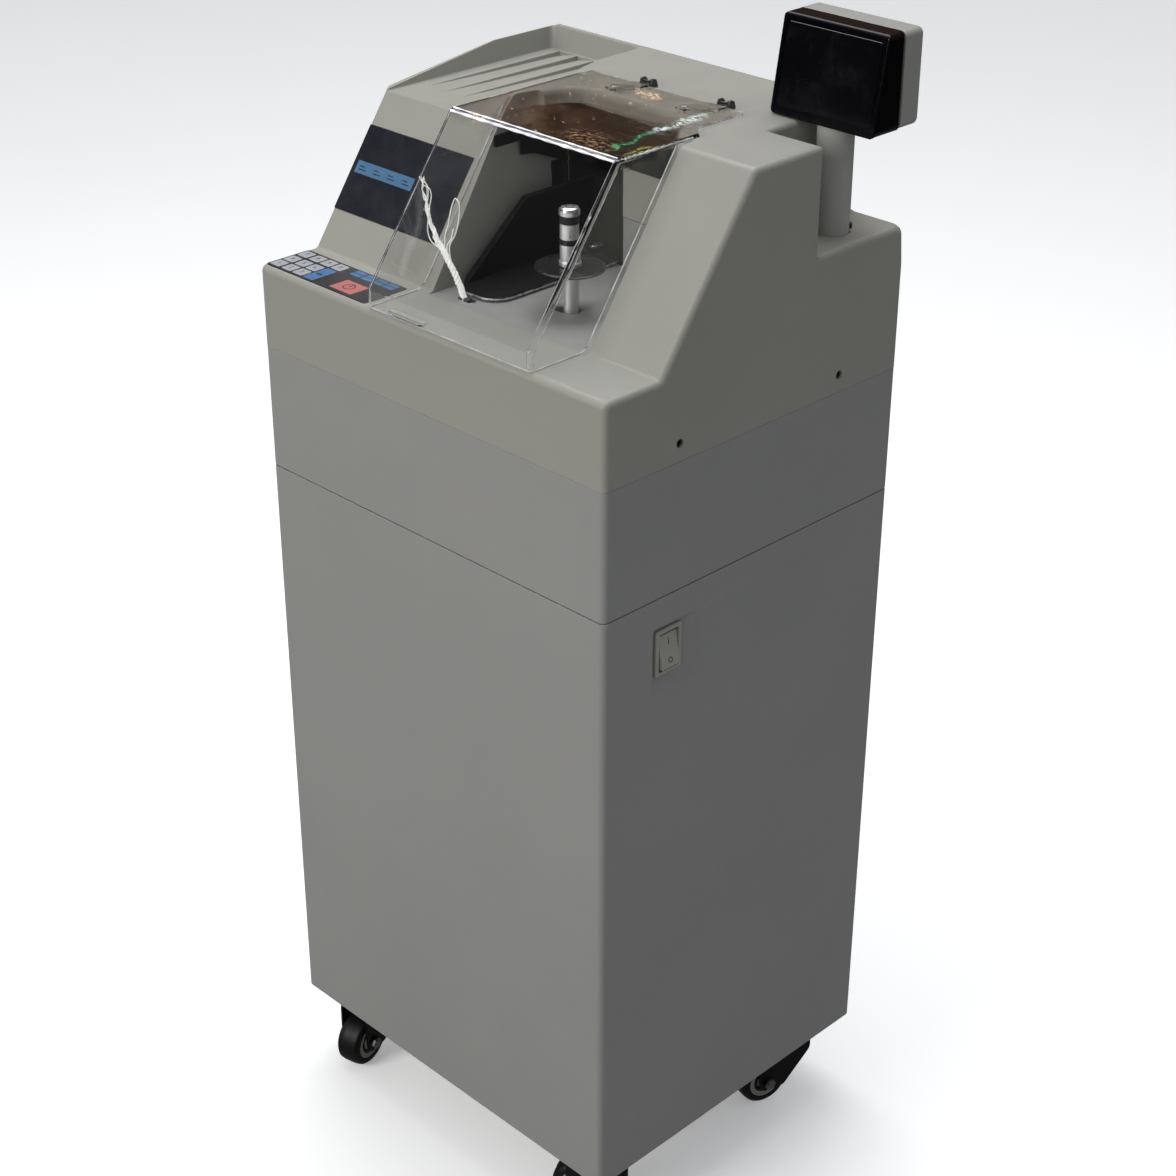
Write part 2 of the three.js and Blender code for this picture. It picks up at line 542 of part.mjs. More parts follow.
// ------------------------------------------------------------ bundle holder
// Floor with a rounded front corner, tall rimmed side plate and rear plate.
function bundleHolder() {
  const z = HOLD_Z, top = HOLD_Z + 66.5, left = -50;
  const floor = alongZ([
    [left, -100, 10], [-36, -107.5, 10], [5.5, -106, 38], [5.5, HOLD_END, 3], [left, HOLD_END, 3],
  ], z, z + 2.5, 8);
  const plate = [[-95, z], [HOLD_END, z], [HOLD_END, top, 4], [-20, top, 8], [-92, z + 7, 5]];
  const side = alongX(plate, left, -47, 3);
  const rim = cut(
    alongX(plate, left, -43.5, 3),
    alongX([
      [-70, z - 5], [HOLD_END + 20, z - 5], [HOLD_END + 20, z + 60],
      [-17.5, z + 60, 6], [-80, z + 9, 4],
    ], -60, -40, 3));
  const back = alongY([[z, left], [top, left], [top, -6, 10], [z, -2]], HOLD_END - 3, HOLD_END);
  return cut(
    add(floor, side, rim, back, rod(HOLD_X, HOLD_Y, 10, z, z + 6, 20)),
    rod(HOLD_X, HOLD_Y, 4.2, z - 3, z + 10));
}
part('bundle_holder', bundleHolder(), FINISH.holder);

// thin strip round the front and right edges of the holder's floor
part('holder_edge_strip', cut(
  alongZ([
    [-36, -109.2], [7, -107.5, 39.4], [7, HOLD_END - 2], [-36, HOLD_END - 2],
  ], HOLD_Z + 0.4, HOLD_Z + 2.1, 8),
  alongZ([
    [-60, -109.1], [-36, -108], [5.9, -106.4, 38.4], [5.9, HOLD_END + 20], [-60, HOLD_END + 20],
  ], HOLD_Z - 3, HOLD_Z + 5, 8),
), FINISH.stripSteel);
part('holder_shaft', add(
  rod(HOLD_X, HOLD_Y, 3.9, 868, HOLD_Z + 8),
  rod(HOLD_X, HOLD_Y, 6.5, HOLD_Z + 6.3, HOLD_Z + 9),
), FINISH.lock);

// ------------------------------------------------------------------ spindle
// Profiles are [radius, height above the disc's upper face].
const GROOVE_R = COLUMN_R - 1.2;
part('spindle_column', turned([
  [0, -109], [5.2, -109], [5.2, -62], [6.7, -60], [6.7, -8], [7.5, -6], [7.5, -2.9],
  [5.2, -2.9], [5.2, 0.3], [COLUMN_R + 0.8, 0.3], [COLUMN_R + 0.8, 4], [COLUMN_R, 5],
  [COLUMN_R, 19.7], [GROOVE_R, 19.7], [GROOVE_R, 25], [COLUMN_R, 25],
  [COLUMN_R, 38.7], [GROOVE_R, 38.7], [GROOVE_R, 46], [0, 46],
], SPINDLE), FINISH.column);
for (const [name, h0, h1] of [['lower', 20, 24.7], ['upper', 39, 45.7]]) {
  const band = rect(COLUMN_R - 0.9, COLUMN_R + 0.3, h0, h1);
  part('spindle_band_' + name, ring(band, SPINDLE), FINISH.band);
}
part('spindle_cap', turned([
  [0, 46.3], [COLUMN_R + 1, 46.3], [COLUMN_R + 1.1, 48], [COLUMN_R + 1.1, 50.5],
  [COLUMN_R, 52.6], [COLUMN_R - 2.5, 53.5], [0, 54],
], SPINDLE), FINISH.cap);
part('spindle_disc', ring([
  [5.5, -2.6], [DISC_R - 2.5, -2.6], [DISC_R, -1.6], [DISC_R, -0.6], [DISC_R - 1.5, 0], [5.5, 0],
], SPINDLE, 28), FINISH.disc);

// Flanged pulley for the flat belt.
function pulley(y, flangeR, boreR, seg) {
  const grooveR = flangeR - FLANGE_H;
  return cut(
    turned([
      [0, 872], [flangeR, 872], [flangeR, 874], [grooveR, 874],
      [grooveR, 884], [flangeR, 884], [flangeR, 886], [0, 886],
    ], [SPIN_X, y], seg),
    rod(SPIN_X, y, boreR, 860, 900, 12));
}
part('spindle_pulley', pulley(SPIN_Y, PULLEY_R, 5.5, 20), FINISH.pulley);

// --------------------------------------------- drive under the deck, cabinet
// Shelf folded down along the sides, with holes for spindle and motor.
function mechanismShelf() {
  const front = -165, rear = 165, z0 = 840, z1 = 870;
  const hole = 32.5;
  const motorHole = rect(SPIN_X - hole, SPIN_X + hole, MOTOR_Y - hole, MOTOR_Y + hole, 32);
  return cut(
    add(
      box(-200, 150, front, rear, 853, 855.5),
      box(-200, -197.5, front, rear, 848, 853.5),
      box(147.5, 150, front, rear, 848, 853.5)),
    rod(SPIN_X, SPIN_Y, 12, z0, z1, 24),
    alongZ(motorHole, z0, z1),
    box(-150, -110, -30, 30, z0, z1));
}
part('mechanism_shelf', mechanismShelf(), FINISH.shelf);
part('drive_motor', add(
  turned([
    [0, 770], [24, 770], [30, 776], [30, 858], [10, 858],
    [10, 864], [4, 864], [4, 883], [0, 883],
  ], [SPIN_X, MOTOR_Y], 16),
  rod(SPIN_X, MOTOR_Y, 31.8, 790, 840),
), FINISH.motor);
part('motor_pulley', pulley(MOTOR_Y, MOTOR_PULLEY_R, 4.3, 16), FINISH.pulley);

// Belt outline: an arc round each pulley joined by straight runs.
function beltLoop(thickness) {
  const offset = thickness + 0.4 - FLANGE_H; // 0.4 clear of the pulley groove
  const spindleR = PULLEY_R + offset, motorR = MOTOR_PULLEY_R + offset;
  const tilt = Math.asin((spindleR - motorR) / (MOTOR_Y - SPIN_Y));
  const arc = (y, r, start, sweep, steps) => Array.from({ length: steps + 1 }, (_, k) => {
    const angle = start + sweep * k / steps;
    return [SPIN_X + r * Math.cos(angle), y + r * Math.sin(angle)];
  });
  return [
    ...arc(SPIN_Y, spindleR, Math.PI - tilt, Math.PI + 2 * tilt, 14),
    ...arc(MOTOR_Y, motorR, tilt, Math.PI - 2 * tilt, 10),
  ];
}
part('drive_belt',
  cut(alongZ(beltLoop(1.3), 875, 883), alongZ(beltLoop(0), 870, 890)), FINISH.belt);

// suction hose from under the spindle to the pump
part('suction_hose', bar([
  [SPIN_X, SPIN_Y, 856.5], [SPIN_X, SPIN_Y, 800], [40, -70, 720], [0, -60, 560],
  [-8, -35, 420], [0, -20, 350], [0, -20, 322.4],
], 8, 14), FINISH.hose);

// pump body on a base plate with four feet
part('vacuum_pump', add(
  turned([
    [0, 130], [52, 130], [58, 138], [58, 235], [50, 245], [50, 262],
    [36, 270], [36, 306], [14, 310], [14, 321], [0, 321],
  ], [0, -20], 18),
  box(-62, 62, -82, 42, 118, 130.5),
  ...[[-60, -80], [44, -80], [-60, 24], [44, 24]].map(([x, y]) =>
    box(x, x + 16, y, y + 16, FLOOR_Z, 118.5)),
), FINISH.pump);
part('power_supply',
  cut(box(90, 200, -60, 110, FLOOR_Z, 170), box(100, 190, -50, 100, 168, 175)),
  FINISH.powerSupply);
part('dust_filter', turned([
  [0, FLOOR_Z], [34, FLOOR_Z], [36, 100], [36, 210], [30, 222], [12, 226], [12, 244], [0, 244],
], [-140, -60], 18), FINISH.filter);
part('control_board', add(
  box(-190, -80, 60, 62, 864, 918),
  box(-170, -140, 56, 60.5, 880, 900),
  box(-130, -100, 54, 60.5, 872, 890),
), FINISH.board);

// -------------------------------------------------------------- side screws
for (const [name, y] of Object.entries(SCREW_YS)) {
  part('side_screw_' + name, cut(
    add(rodX(y, SCREW_Z, 3.8, 221.8, 223.6, 16), rodX(y, SCREW_Z, 2, 214, 222)),
    // cross recess
    box(222.8, 226, y - 2.6, y + 2.6, SCREW_Z - 0.5, SCREW_Z + 0.5),
    box(222.8, 226, y - 0.5, y + 0.5, SCREW_Z - 2.6, SCREW_Z + 2.6),
  ), FINISH.sideScrew);
}

// ------------------------------------------------------------- mains switch
part('switch_bezel', cut(
  add(
    alongX(rect(-123.6, -90, 641.4, 687.6, 2), SWITCH_X + 0.3, SWITCH_X + 3.3, 2, 1, 2),
    alongX(rect(-120.8, -92.8, 643.6, 685.4), SWITCH_X - 16, SWITCH_X + 1)),
  alongX(rect(-119.3, -94.3, 645.2, 683.8), SWITCH_X - 13, SWITCH_X + 10),
), FINISH.bezel);

// Rocker with its upper half pressed in.
function switchRocker() {
  const z = 664.5;
  return alongY([
    [z - 16.4, SWITCH_X + 7.4, 1], [z, SWITCH_X + 3.6, 6], [z + 16.4, SWITCH_X + 1.2, 1],
    [z + 15, SWITCH_X - 4], [z, SWITCH_X - 7.5, 3], [z - 15, SWITCH_X - 4],
  ], -118.5, -95.1, 3);
}
part('switch_rocker', switchRocker(), FINISH.rocker);

// -------------------------------------------------------------- clear cover
function clearCover() {
  const bottom = LEDGE_Z + 0.7, bend = bottom + 17;
  const front = -190.2, crest = -88, rear = HINGE_Y + 20;
  const under = CLEAR_Z - 5, over = CLEAR_TOP + 5;
  const body = alongX([
    [front, bottom], [front, bend, 3], [crest, CLEAR_TOP, 3],
    [HINGE_Y - 5, CLEAR_TOP], [HINGE_Y - 5, CLEAR_Z], [slopeY(CLEAR_Z) - 1, CLEAR_Z],
    [slopeY(bottom + 4) - 1, bottom + 4], [SLOPE_FOOT_Y - 5, bottom],
  ], CLEAR_X0, CLEAR_X1, 3);
  const hollow = alongX([
    [front + CLEAR_T, bottom - 10], [front + CLEAR_T, bend - 1.1, 2],
    [crest + CLEAR_T * 0.55, CLEAR_Z, 2], [rear, CLEAR_Z], [rear, bottom - 10],
  ], CLEAR_X0 + CLEAR_T, CLEAR_X1 - CLEAR_T, 3);
  // the rear tongue is narrower, with a swept shoulder on the right
  const rightWaste = alongZ([
    [120.5, HINGE_Y + 10], [120.5, 26, 12], [131, 14, 8],
    [CLEAR_X1 + 10, 4], [CLEAR_X1 + 10, HINGE_Y + 10],
  ], under, over);
  const leftWaste = alongZ([
    [CLEAR_X0 - 5, 60], [CLEAR_X0 + 6, 72, 6],
    [CLEAR_X0 + 6, HINGE_Y + 10], [CLEAR_X0 - 5, HINGE_Y + 10],
  ], under, over, 3);
  // finger tab on the lower front edge
  const tab = alongZ([
    [CLEAR_X0 + 30, front + 1], [CLEAR_X0 + 34, front - 4.3, 3],
    [CLEAR_X0 + 74, front - 4.3, 3], [CLEAR_X0 + 78, front + 1],
  ], bottom + 3, bottom + 5.5, 3);
  return add(cut(body, hollow, rightWaste, leftWaste), tab);
}
part('clear_cover', clearCover(), FINISH.clear);

// Fixed part on the top: two cheeks and the pin between them.
function hingeBlock(x) {
  const cheek = [
    [HINGE_Y - 4, TOP_Z + GAP], [HINGE_Y + 7, TOP_Z + GAP, 1],
    [HINGE_Y + 4.5, HINGE_Z + 3, 2], [HINGE_Y - 2, HINGE_Z + 3.4, 2],
  ];
  return add(
    alongX(cheek, x - 9, x - 4.4, 3),
    alongX(cheek, x + 4.4, x + 9, 3),
    rodX(HINGE_Y, HINGE_Z, 1.4, x - 5, x + 5, 10));
}
// Moving part on the sheet: knuckle, plate and screw head.
function hingeLeaf(x, screwX) {
  const z0 = CLEAR_TOP + 0.3, z1 = CLEAR_TOP + 1.8;
  const plate = alongZ([
    [screwX - 7, HINGE_Y - 39, 4], [screwX + 7, HINGE_Y - 39, 4], [x + 9, HINGE_Y - 22, 4],
    [x + 9, HINGE_Y - 5.5, 2], [x - 9, HINGE_Y - 5.5, 2], [screwX - 7, HINGE_Y - 24, 4],
  ], z0, z1, 2);
  return cut(
    add(
      rodX(HINGE_Y, HINGE_Z, 3, x - 4, x + 4),
      box(x - 4, x + 4, HINGE_Y - 8, HINGE_Y, z0, z1),
      plate,
      rod(screwX, HINGE_Y - 32, 3.6, CLEAR_TOP + 1, CLEAR_TOP + 2.8, 12)),
    rodX(HINGE_Y, HINGE_Z, 1.75, x - 20, x + 20, 10));
}
for (const [name, x, screwX] of [['left', -1, -11], ['right', 93.5, 75]]) {
  part('cover_hinge_' + name, hingeBlock(x), FINISH.hinge);
  part('cover_leaf_' + name, hingeLeaf(x, screwX), FINISH.leaf);
}

// -------------------------------------------------- pole and display head
const POLE_SCREW_Z = 989;
const onPole = shape => placed(shape, POLE_X, POLE_Y, 45);
part('display_pole', cut(
  rod(POLE_X, POLE_Y, POLE_R, 965, HEAD_Z - 0.5, 32),
  rod(POLE_X, POLE_Y, POLE_R - 2, 960, 1100, 24),
  onPole(rodX(0, POLE_SCREW_Z, 2.5, 0, 30)),
), FINISH.pole);
part('pole_screw', onPole(add(
  rodX(0, POLE_SCREW_Z, 2.1, 13.5, 17),
  rodX(0, POLE_SCREW_Z, 3.4, POLE_R + 0.3, POLE_R + 2.2, 16),
)), FINISH.poleScrew);

const HEAD_LEFT = POLE_X - HEAD_W / 2, HEAD_RIGHT = POLE_X + HEAD_W / 2;
const HEAD_SPLIT_Y = 142;     // between the front and rear housings
const FACE_Y0 = 107.6, FACE_Y1 = 122.4; // foot and head of the leaning front face
const FACE_LENGTH = Math.hypot(HEAD_H, FACE_Y1 - FACE_Y0);
function rearHousing() {
  const outline = rect(HEAD_Z + 1, HEAD_Z + HEAD_H + 0.5, HEAD_LEFT, HEAD_RIGHT, 8);
  const rearY = 166;
  return add(
    both(
      alongY(outline, HEAD_SPLIT_Y + 0.15, rearY, 5),
      // softens the rear edges
      alongY(outline, HEAD_SPLIT_Y - 10, rearY, 5, 3)),
    // spigot that turns inside the pole, tied back to the housing
    rod(POLE_X, POLE_Y, 12.5, 1040, HEAD_Z + 24, 20),
    box(POLE_X - 9, POLE_X + 9, POLE_Y, HEAD_SPLIT_Y + 2, HEAD_Z + 4, HEAD_Z + 22));
}
part('display_rear_housing', rearHousing(), FINISH.rearHousing);

// Plate on the leaning face, between two heights off it, inset from its edges.
function facePlate(inset, sideInset, n0, n1) {
  const dirY = (FACE_Y1 - FACE_Y0) / FACE_LENGTH, dirZ = HEAD_H / FACE_LENGTH;
  const at = (s, n) => [FACE_Y0 + dirY * s - dirZ * n, HEAD_Z + dirZ * s + dirY * n];
  const end = FACE_LENGTH - inset;
  return alongX([at(inset, n0), at(end, n0), at(end, n1), at(inset, n1)],
    HEAD_LEFT + sideInset, HEAD_RIGHT - sideInset);
}
function frontHousing() {
  const splitY = HEAD_SPLIT_Y - 0.15;
  const block = alongX([
    [splitY, HEAD_Z + 0.8], [splitY, HEAD_Z + HEAD_H + 0.4],
    [FACE_Y1, HEAD_Z + HEAD_H, 5.4], [FACE_Y0, HEAD_Z, 5.4],
  ], HEAD_LEFT, HEAD_RIGHT, 4, 4.6, 4);
  const outline = alongY([
    [HEAD_Z - 5, HEAD_LEFT, 10], [HEAD_Z + HEAD_H + 1, HEAD_LEFT, 8],
    [HEAD_Z + HEAD_H + 1, HEAD_RIGHT, 8], [HEAD_Z - 5, HEAD_RIGHT, 10],
  ], 90, 150, 5);
  return cut(
    both(cut(block, facePlate(6.5, 7, -1.4, 6)), outline),
    // room for the spigot and its tie
    rod(POLE_X, POLE_Y, 13, 1000, HEAD_Z + 24.4, 20),
    box(POLE_X - 9.4, POLE_X + 9.4, POLE_Y, HEAD_SPLIT_Y + 2, HEAD_Z + 3.6, HEAD_Z + 22.4));
}
part('display_front_housing', frontHousing(), FINISH.frontHousing);
part('display_lens', facePlate(6.9, 7.4, -1.1, 0.2), FINISH.lens);

// -------------------------------------------------------------- transit cord
// x, y, height above the ledge; runs up from beside the clamp pin
const CORD = [
  [-29.6, -114, 3], [-33, -114.5, 11], [-39, -116, 22.5], [-48, -117, 35.5],
  [-57.5, -118.5, 48.5], [-63.5, -120.7, 65.5], [-66.2, -122, 79.5], [-66.6, -125, 99.5],
];
part('transit_cord', bar(CORD.map(([x, y, h]) => [x, y, LEDGE_Z + h]), 1.9, 20), FINISH.cord);

// ------------------------------------------------------------------ casters
// Built at the origin trailing towards -Y; heights are above the floor.
const CHEEK_IN = WHEEL_W / 2 + 1.4, CHEEK_OUT = CHEEK_IN + 3.2;
const WHEEL_HALF = WHEEL_W / 2;

function casterFork() {
  const top = CASTER_H - 2.9;
  const leg = [
    [24, top - 7], [24, 55, 8], [-16, 13.5, 8], [-TRAIL - 6, 10, 8],
    [-TRAIL - 17, WHEEL_R - 5, 8], [-41, top - 20], [-38, top - 7],
  ];
  return cut(
    add(
      alongX(leg, -CHEEK_OUT, -CHEEK_IN, 2),
      alongX(leg, CHEEK_IN, CHEEK_OUT, 2),
      alongX(rect(-37, 22, top - 11, top - 7), -CHEEK_OUT + 0.5, CHEEK_OUT - 0.5),
      turned([[0, top - 9], [22, top - 9], [20, top], [0, top]], [0, 0], 16)),
    rodX(-TRAIL, WHEEL_R, 4.3, -40, 40));
}
const onAxle = geometry => solid(geometry.rotateZ(-Math.PI / 2).translate(0, -TRAIL, WHEEL_R));
// The tyre's flats touch its true radius, and one lies underneath on the floor.
function casterTyre() {
  const seg = 24, h = WHEEL_HALF;
  const profile = closed([
    [20.8, -h], [26, -h], [WHEEL_R, -h + 5.5], [WHEEL_R, h - 5.5], [26, h], [20.8, h],
  ]).map(([r, y]) => [r / Math.cos(Math.PI / seg), y]);
  return onAxle(lathe(profile, seg).rotateY(Math.PI / seg));
}
function casterHub() {
  const h = WHEEL_HALF;
  return onAxle(lathe(closed([
    [4.5, -h], [9.5, -h], [14.4, -h + 4], [15.2, -h + 0.6], [20.3, -h + 0.6],
    [20.3, h - 0.6], [15.2, h - 0.6], [14.4, h - 4], [9.5, h], [4.5, h],
  ]), 16));
}
function casterAxle() {
  const hexagon = Array.from({ length: 6 }, (_, k) => {
    const angle = k * Math.PI / 3;
    return [-TRAIL + 6.8 * Math.cos(angle), WHEEL_R + 6.8 * Math.sin(angle)];
  });
  return add(
    rodX(-TRAIL, WHEEL_R, 3.9, -CHEEK_OUT - 1, CHEEK_OUT + 5),
    alongX(hexagon, CHEEK_OUT + 0.3, CHEEK_OUT + 4),
    alongX(hexagon, -CHEEK_OUT - 4, -CHEEK_OUT - 0.3));
}
const casterPieces = {
  fork: casterFork(),
  tyre: casterTyre(),
  hub: casterHub(),
  axle: casterAxle(),
};
for (const [place, x, y, yaw] of CASTERS) {
  for (const [piece, shape] of Object.entries(casterPieces)) {
    part(`caster_${piece}_${place}`, placed(shape, x, y, yaw), FINISH[piece]);
  }
}

export default group;
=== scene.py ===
"""Floor-standing banknote counting machine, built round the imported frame.
"""
import math
import random

import bmesh
import bpy
from mathutils import Matrix, Vector


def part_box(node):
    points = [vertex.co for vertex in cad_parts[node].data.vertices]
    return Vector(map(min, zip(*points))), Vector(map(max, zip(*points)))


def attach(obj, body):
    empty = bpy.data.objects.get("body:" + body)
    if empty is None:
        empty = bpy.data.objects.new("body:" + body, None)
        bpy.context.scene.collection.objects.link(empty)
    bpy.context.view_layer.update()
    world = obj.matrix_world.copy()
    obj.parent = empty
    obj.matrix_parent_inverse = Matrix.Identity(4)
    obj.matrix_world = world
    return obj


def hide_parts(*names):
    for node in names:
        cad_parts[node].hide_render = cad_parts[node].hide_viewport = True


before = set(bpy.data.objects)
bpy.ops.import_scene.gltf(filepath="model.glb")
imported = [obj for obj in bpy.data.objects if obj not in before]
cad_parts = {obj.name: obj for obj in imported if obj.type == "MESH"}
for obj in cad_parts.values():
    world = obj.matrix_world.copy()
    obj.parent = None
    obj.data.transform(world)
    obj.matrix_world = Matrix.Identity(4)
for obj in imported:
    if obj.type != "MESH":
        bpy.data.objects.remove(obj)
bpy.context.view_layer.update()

scene = bpy.context.scene
scene.view_settings.view_transform = "Standard"
scene.view_settings.look = "None"

# ---------------------------------------------------------------- main dimensions, mm
low_corner, high_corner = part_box("lower_cabinet")
MIDDLE_X = (low_corner.x + high_corner.x) / 2 * 1000.0  # the cabinet's middle in the row frame
SIDE = (high_corner.x - low_corner.x) / 2 * 1000.0  # the right side's x; the left is at -SIDE
REAR = (high_corner.y - low_corner.y) / 2 * 1000.0  # the rear face's y; the front is at -REAR

CASTER_H = 92.0
BASE = CASTER_H  # underside of the cabinet
BAND, SEAM = 722.9, 846.3  # undersides of the mid band and the upper cover
LEDGE, TOP = 926.6, 1082.5  # foot and head of the slope
NOTCH = 984.0  # floor of the notch the pole stands in
SHEET, WALL = 2.5, 3.0  # thickness of the cabinet and of the cover
SLOPE_Y0, SLOPE_Y1 = -125.5, -17.0
WELL_LEFT, WELL_LEFT_TOP, WELL_RIGHT, WELL_REAR = -57.0, -66.0, 141.0, 45.0
TRAY = 1058.0  # floor of the top tray
DECK_TOP, DECK_T, DECK_FRONT = LEDGE - 0.8, 2.0, -130.0
POLE, POLE_R = (188.0, 129.5), 16.5
SPINDLE = (57.0, -65.5)
SIDE_SCREWS, SIDE_SCREW_Z = (("front", -101.3), ("rear", 107.2)), 863.1
LOCK_Z, LOCK_X = LOCK = (430, 170)
# name, x, y, yaw in degrees
CASTERS = [("front_left", -182.0, -133.4, 14.0), ("front_right", 182.0, -133.4, -62.0),
           ("rear_left", -182.0, 133.4, 8.0), ("rear_right", 182.0, 133.4, -14.0)]

SLOPE_RUN, SLOPE_RISE = SLOPE_Y1 - SLOPE_Y0, TOP - LEDGE
SLOPE_LENGTH = math.hypot(SLOPE_RISE, SLOPE_RUN)
SLOPE_UY, SLOPE_UZ = SLOPE_RUN / SLOPE_LENGTH, SLOPE_RISE / SLOPE_LENGTH  # unit step up the slope


def slope_y(z):
    return SLOPE_Y0 + (z - LEDGE) * SLOPE_RUN / SLOPE_RISE


def off_slope(z, height):
    """(y, z) of a point set off squarely from the slope."""
    return slope_y(z) - SLOPE_UZ * height, z + SLOPE_UY * height


# ---------------------------------------------------------------- outlines
# An outline is a list of (a, b) or (a, b, corner radius).
def rounded(outline, steps=8):
    """The outline's plain points, with its corners turned into arcs."""
    result = []
    for i, corner in enumerate(outline):
        x, y = corner[:2]
        radius = corner[2] if len(corner) > 2 else 0
        if radius <= 0:
            result.append((x, y))
            continue
        before, after = outline[i - 1], outline[(i + 1) % len(outline)]
        ax, ay, bx, by = before[0] - x, before[1] - y, after[0] - x, after[1] - y
        a_len, b_len = math.hypot(ax, ay), math.hypot(bx, by)
        ax, ay, bx, by = ax / a_len, ay / a_len, bx / b_len, by / b_len
        half = math.acos(max(-1, min(1, ax * bx + ay * by))) / 2
        tangent = radius / math.tan(half)
        if tangent > 0.49 * min(a_len, b_len):
            tangent = 0.49 * min(a_len, b_len)
            radius = tangent * math.tan(half)
        middle = math.hypot(ax + bx, ay + by)
        cx = x + (ax + bx) / middle * radius / math.sin(half)
        cy = y + (ay + by) / middle * radius / math.sin(half)
        start = math.atan2(y + ay * tangent - cy, x + ax * tangent - cx)
        sweep = math.atan2(y + by * tangent - cy, x + bx * tangent - cx) - start
        while sweep > math.pi:
            sweep -= 2 * math.pi
        while sweep < -math.pi:
            sweep += 2 * math.pi
        for k in range(steps + 1):
            angle = start + sweep * k / steps
            result.append((cx + radius * math.cos(angle), cy + radius * math.sin(angle)))
    return result


def area(outline):
    return sum(outline[i - 1][0] * outline[i][1] - outline[i][0] * outline[i - 1][1]
               for i in range(len(outline))) / 2


def inset(outline, depth):
    """The outline moved inwards; radii follow, so the number of points stays the same."""
    sign = 1 if area(outline) > 0 else -1
    result = []
    for i, corner in enumerate(outline):
        before, after = outline[i - 1], outline[(i + 1) % len(outline)]
        radius = corner[2] if len(corner) > 2 else 0
        edge0 = (corner[0] - before[0], corner[1] - before[1])
        edge1 = (after[0] - corner[0], after[1] - corner[1])
        len0, len1 = math.hypot(*edge0), math.hypot(*edge1)
        normal0 = (-edge0[1] / len0 * sign, edge0[0] / len0 * sign)
        normal1 = (-edge1[1] / len1 * sign, edge1[0] / len1 * sign)
        k = 1 + normal0[0] * normal1[0] + normal0[1] * normal1[1]
        x = corner[0] + depth * (normal0[0] + normal1[0]) / k
        y = corner[1] + depth * (normal0[1] + normal1[1]) / k
        convex = (edge0[0] * edge1[1] - edge0[1] * edge1[0]) * sign > 0
        if radius > 0:
            radius = max(radius - depth if convex else radius + depth, 0.05)
        result.append((x, y, radius))
    return result


def rect(a0, a1, b0, b1, radius=0):
    return [(a0, b0, radius), (a1, b0, radius), (a1, b1, radius), (a0, b1, radius)]


def softened(path, steps=4):
    """Open path of (a, b, radius) with its inner corners rounded."""
    result = [path[0][:2]]
    for before, corner, after in zip(path, path[1:], path[2:]):
        if len(corner) < 3 or corner[2] <= 0:
            result.append(corner[:2])
        else:
            result += rounded([before[:2], corner, after[:2]], steps)[1:-1]
    result.append(path[-1][:2])
    return result


def quarter(steps, first=0):
    """(sine, cosine) pairs over a quarter turn."""
    angles = [math.pi / 2 * k / steps for k in range(first, steps + 1)]
    return [(math.sin(angle), math.cos(angle)) for angle in angles]


def place(axis, u, v, w):
    """Point (u, v) of an outline at w along the axis: x takes (y, z), y (z, x) and z (x, y)."""
    return {"x": (w, u, v), "y": (v, w, u), "z": (u, v, w)}[axis]


# ---------------------------------------------------------------- solids
def volume(verts, faces):
    total = 0.0
    for face in faces:
        a = verts[face[0]]
        for i in range(1, len(face) - 1):
            b, c = verts[face[i]], verts[face[i + 1]]
            total += (a[0] * (b[1] * c[2] - b[2] * c[1]) - a[1] * (b[0] * c[2] - b[2] * c[0])
                      + a[2] * (b[0] * c[1] - b[1] * c[0]))
    return total


def new_object(mesh):
    made = bpy.data.objects.new(mesh.name, mesh)
    scene.collection.objects.link(made)
    return made


def mesh_object(verts, faces):
    mesh = bpy.data.meshes.new("solid")
    mesh.from_pydata([tuple(point) for point in verts], [], faces)
    mesh.update()
    return new_object(mesh)


def solid(verts, faces):
    """Object from a closed mesh, its faces turned outwards."""
    if volume(verts, faces) < 0:
        faces = [tuple(reversed(face)) for face in faces]
    return mesh_object(verts, faces)


def ring_faces(rings, count):
    """Faces between rings of count points, and the two end caps."""
    faces = []
    for k in range(rings - 1):
        a, b = k * count, (k + 1) * count
        for i in range(count):
            j = (i + 1) % count
            faces.append((a + i, a + j, b + j, b + i))
    faces.append(tuple(range(count - 1, -1, -1)))
    faces.append(tuple(range((rings - 1) * count, rings * count)))
    return faces


def loft(rings):
    """Solid through rings of equal length."""
    return solid([point for ring in rings for point in ring], ring_faces(len(rings), len(rings[0])))


def stack(axis, levels, steps=8):
    """Solid through (place along the axis, outline) levels."""
    return loft([[place(axis, u, v, w) for u, v in rounded(outline, steps)]
                 for w, outline in levels])


def prism(axis, outline, start, end, start_round=0.0, end_round=0.0, steps=8, end_steps=5):
    """Outline swept along an axis, with rounded ends."""
    levels = [(start + start_round, 0.0), (end - end_round, 0.0)]
    arc = quarter(end_steps, 1)
    if start_round > 0:
        levels = [(start + start_round * (1 - sine), start_round * (1 - cosine))
                  for sine, cosine in reversed(arc)] + levels
    if end_round > 0:
        levels += [(end - end_round * (1 - sine), end_round * (1 - cosine))
                   for sine, cosine in arc]
    return stack(axis, [(w, inset(outline, depth) if depth else outline) for w, depth in levels],
                 steps)


def box(x0, x1, y0, y1, z0, z1):
    return prism("z", rect(x0, x1, y0, y1), z0, z1)


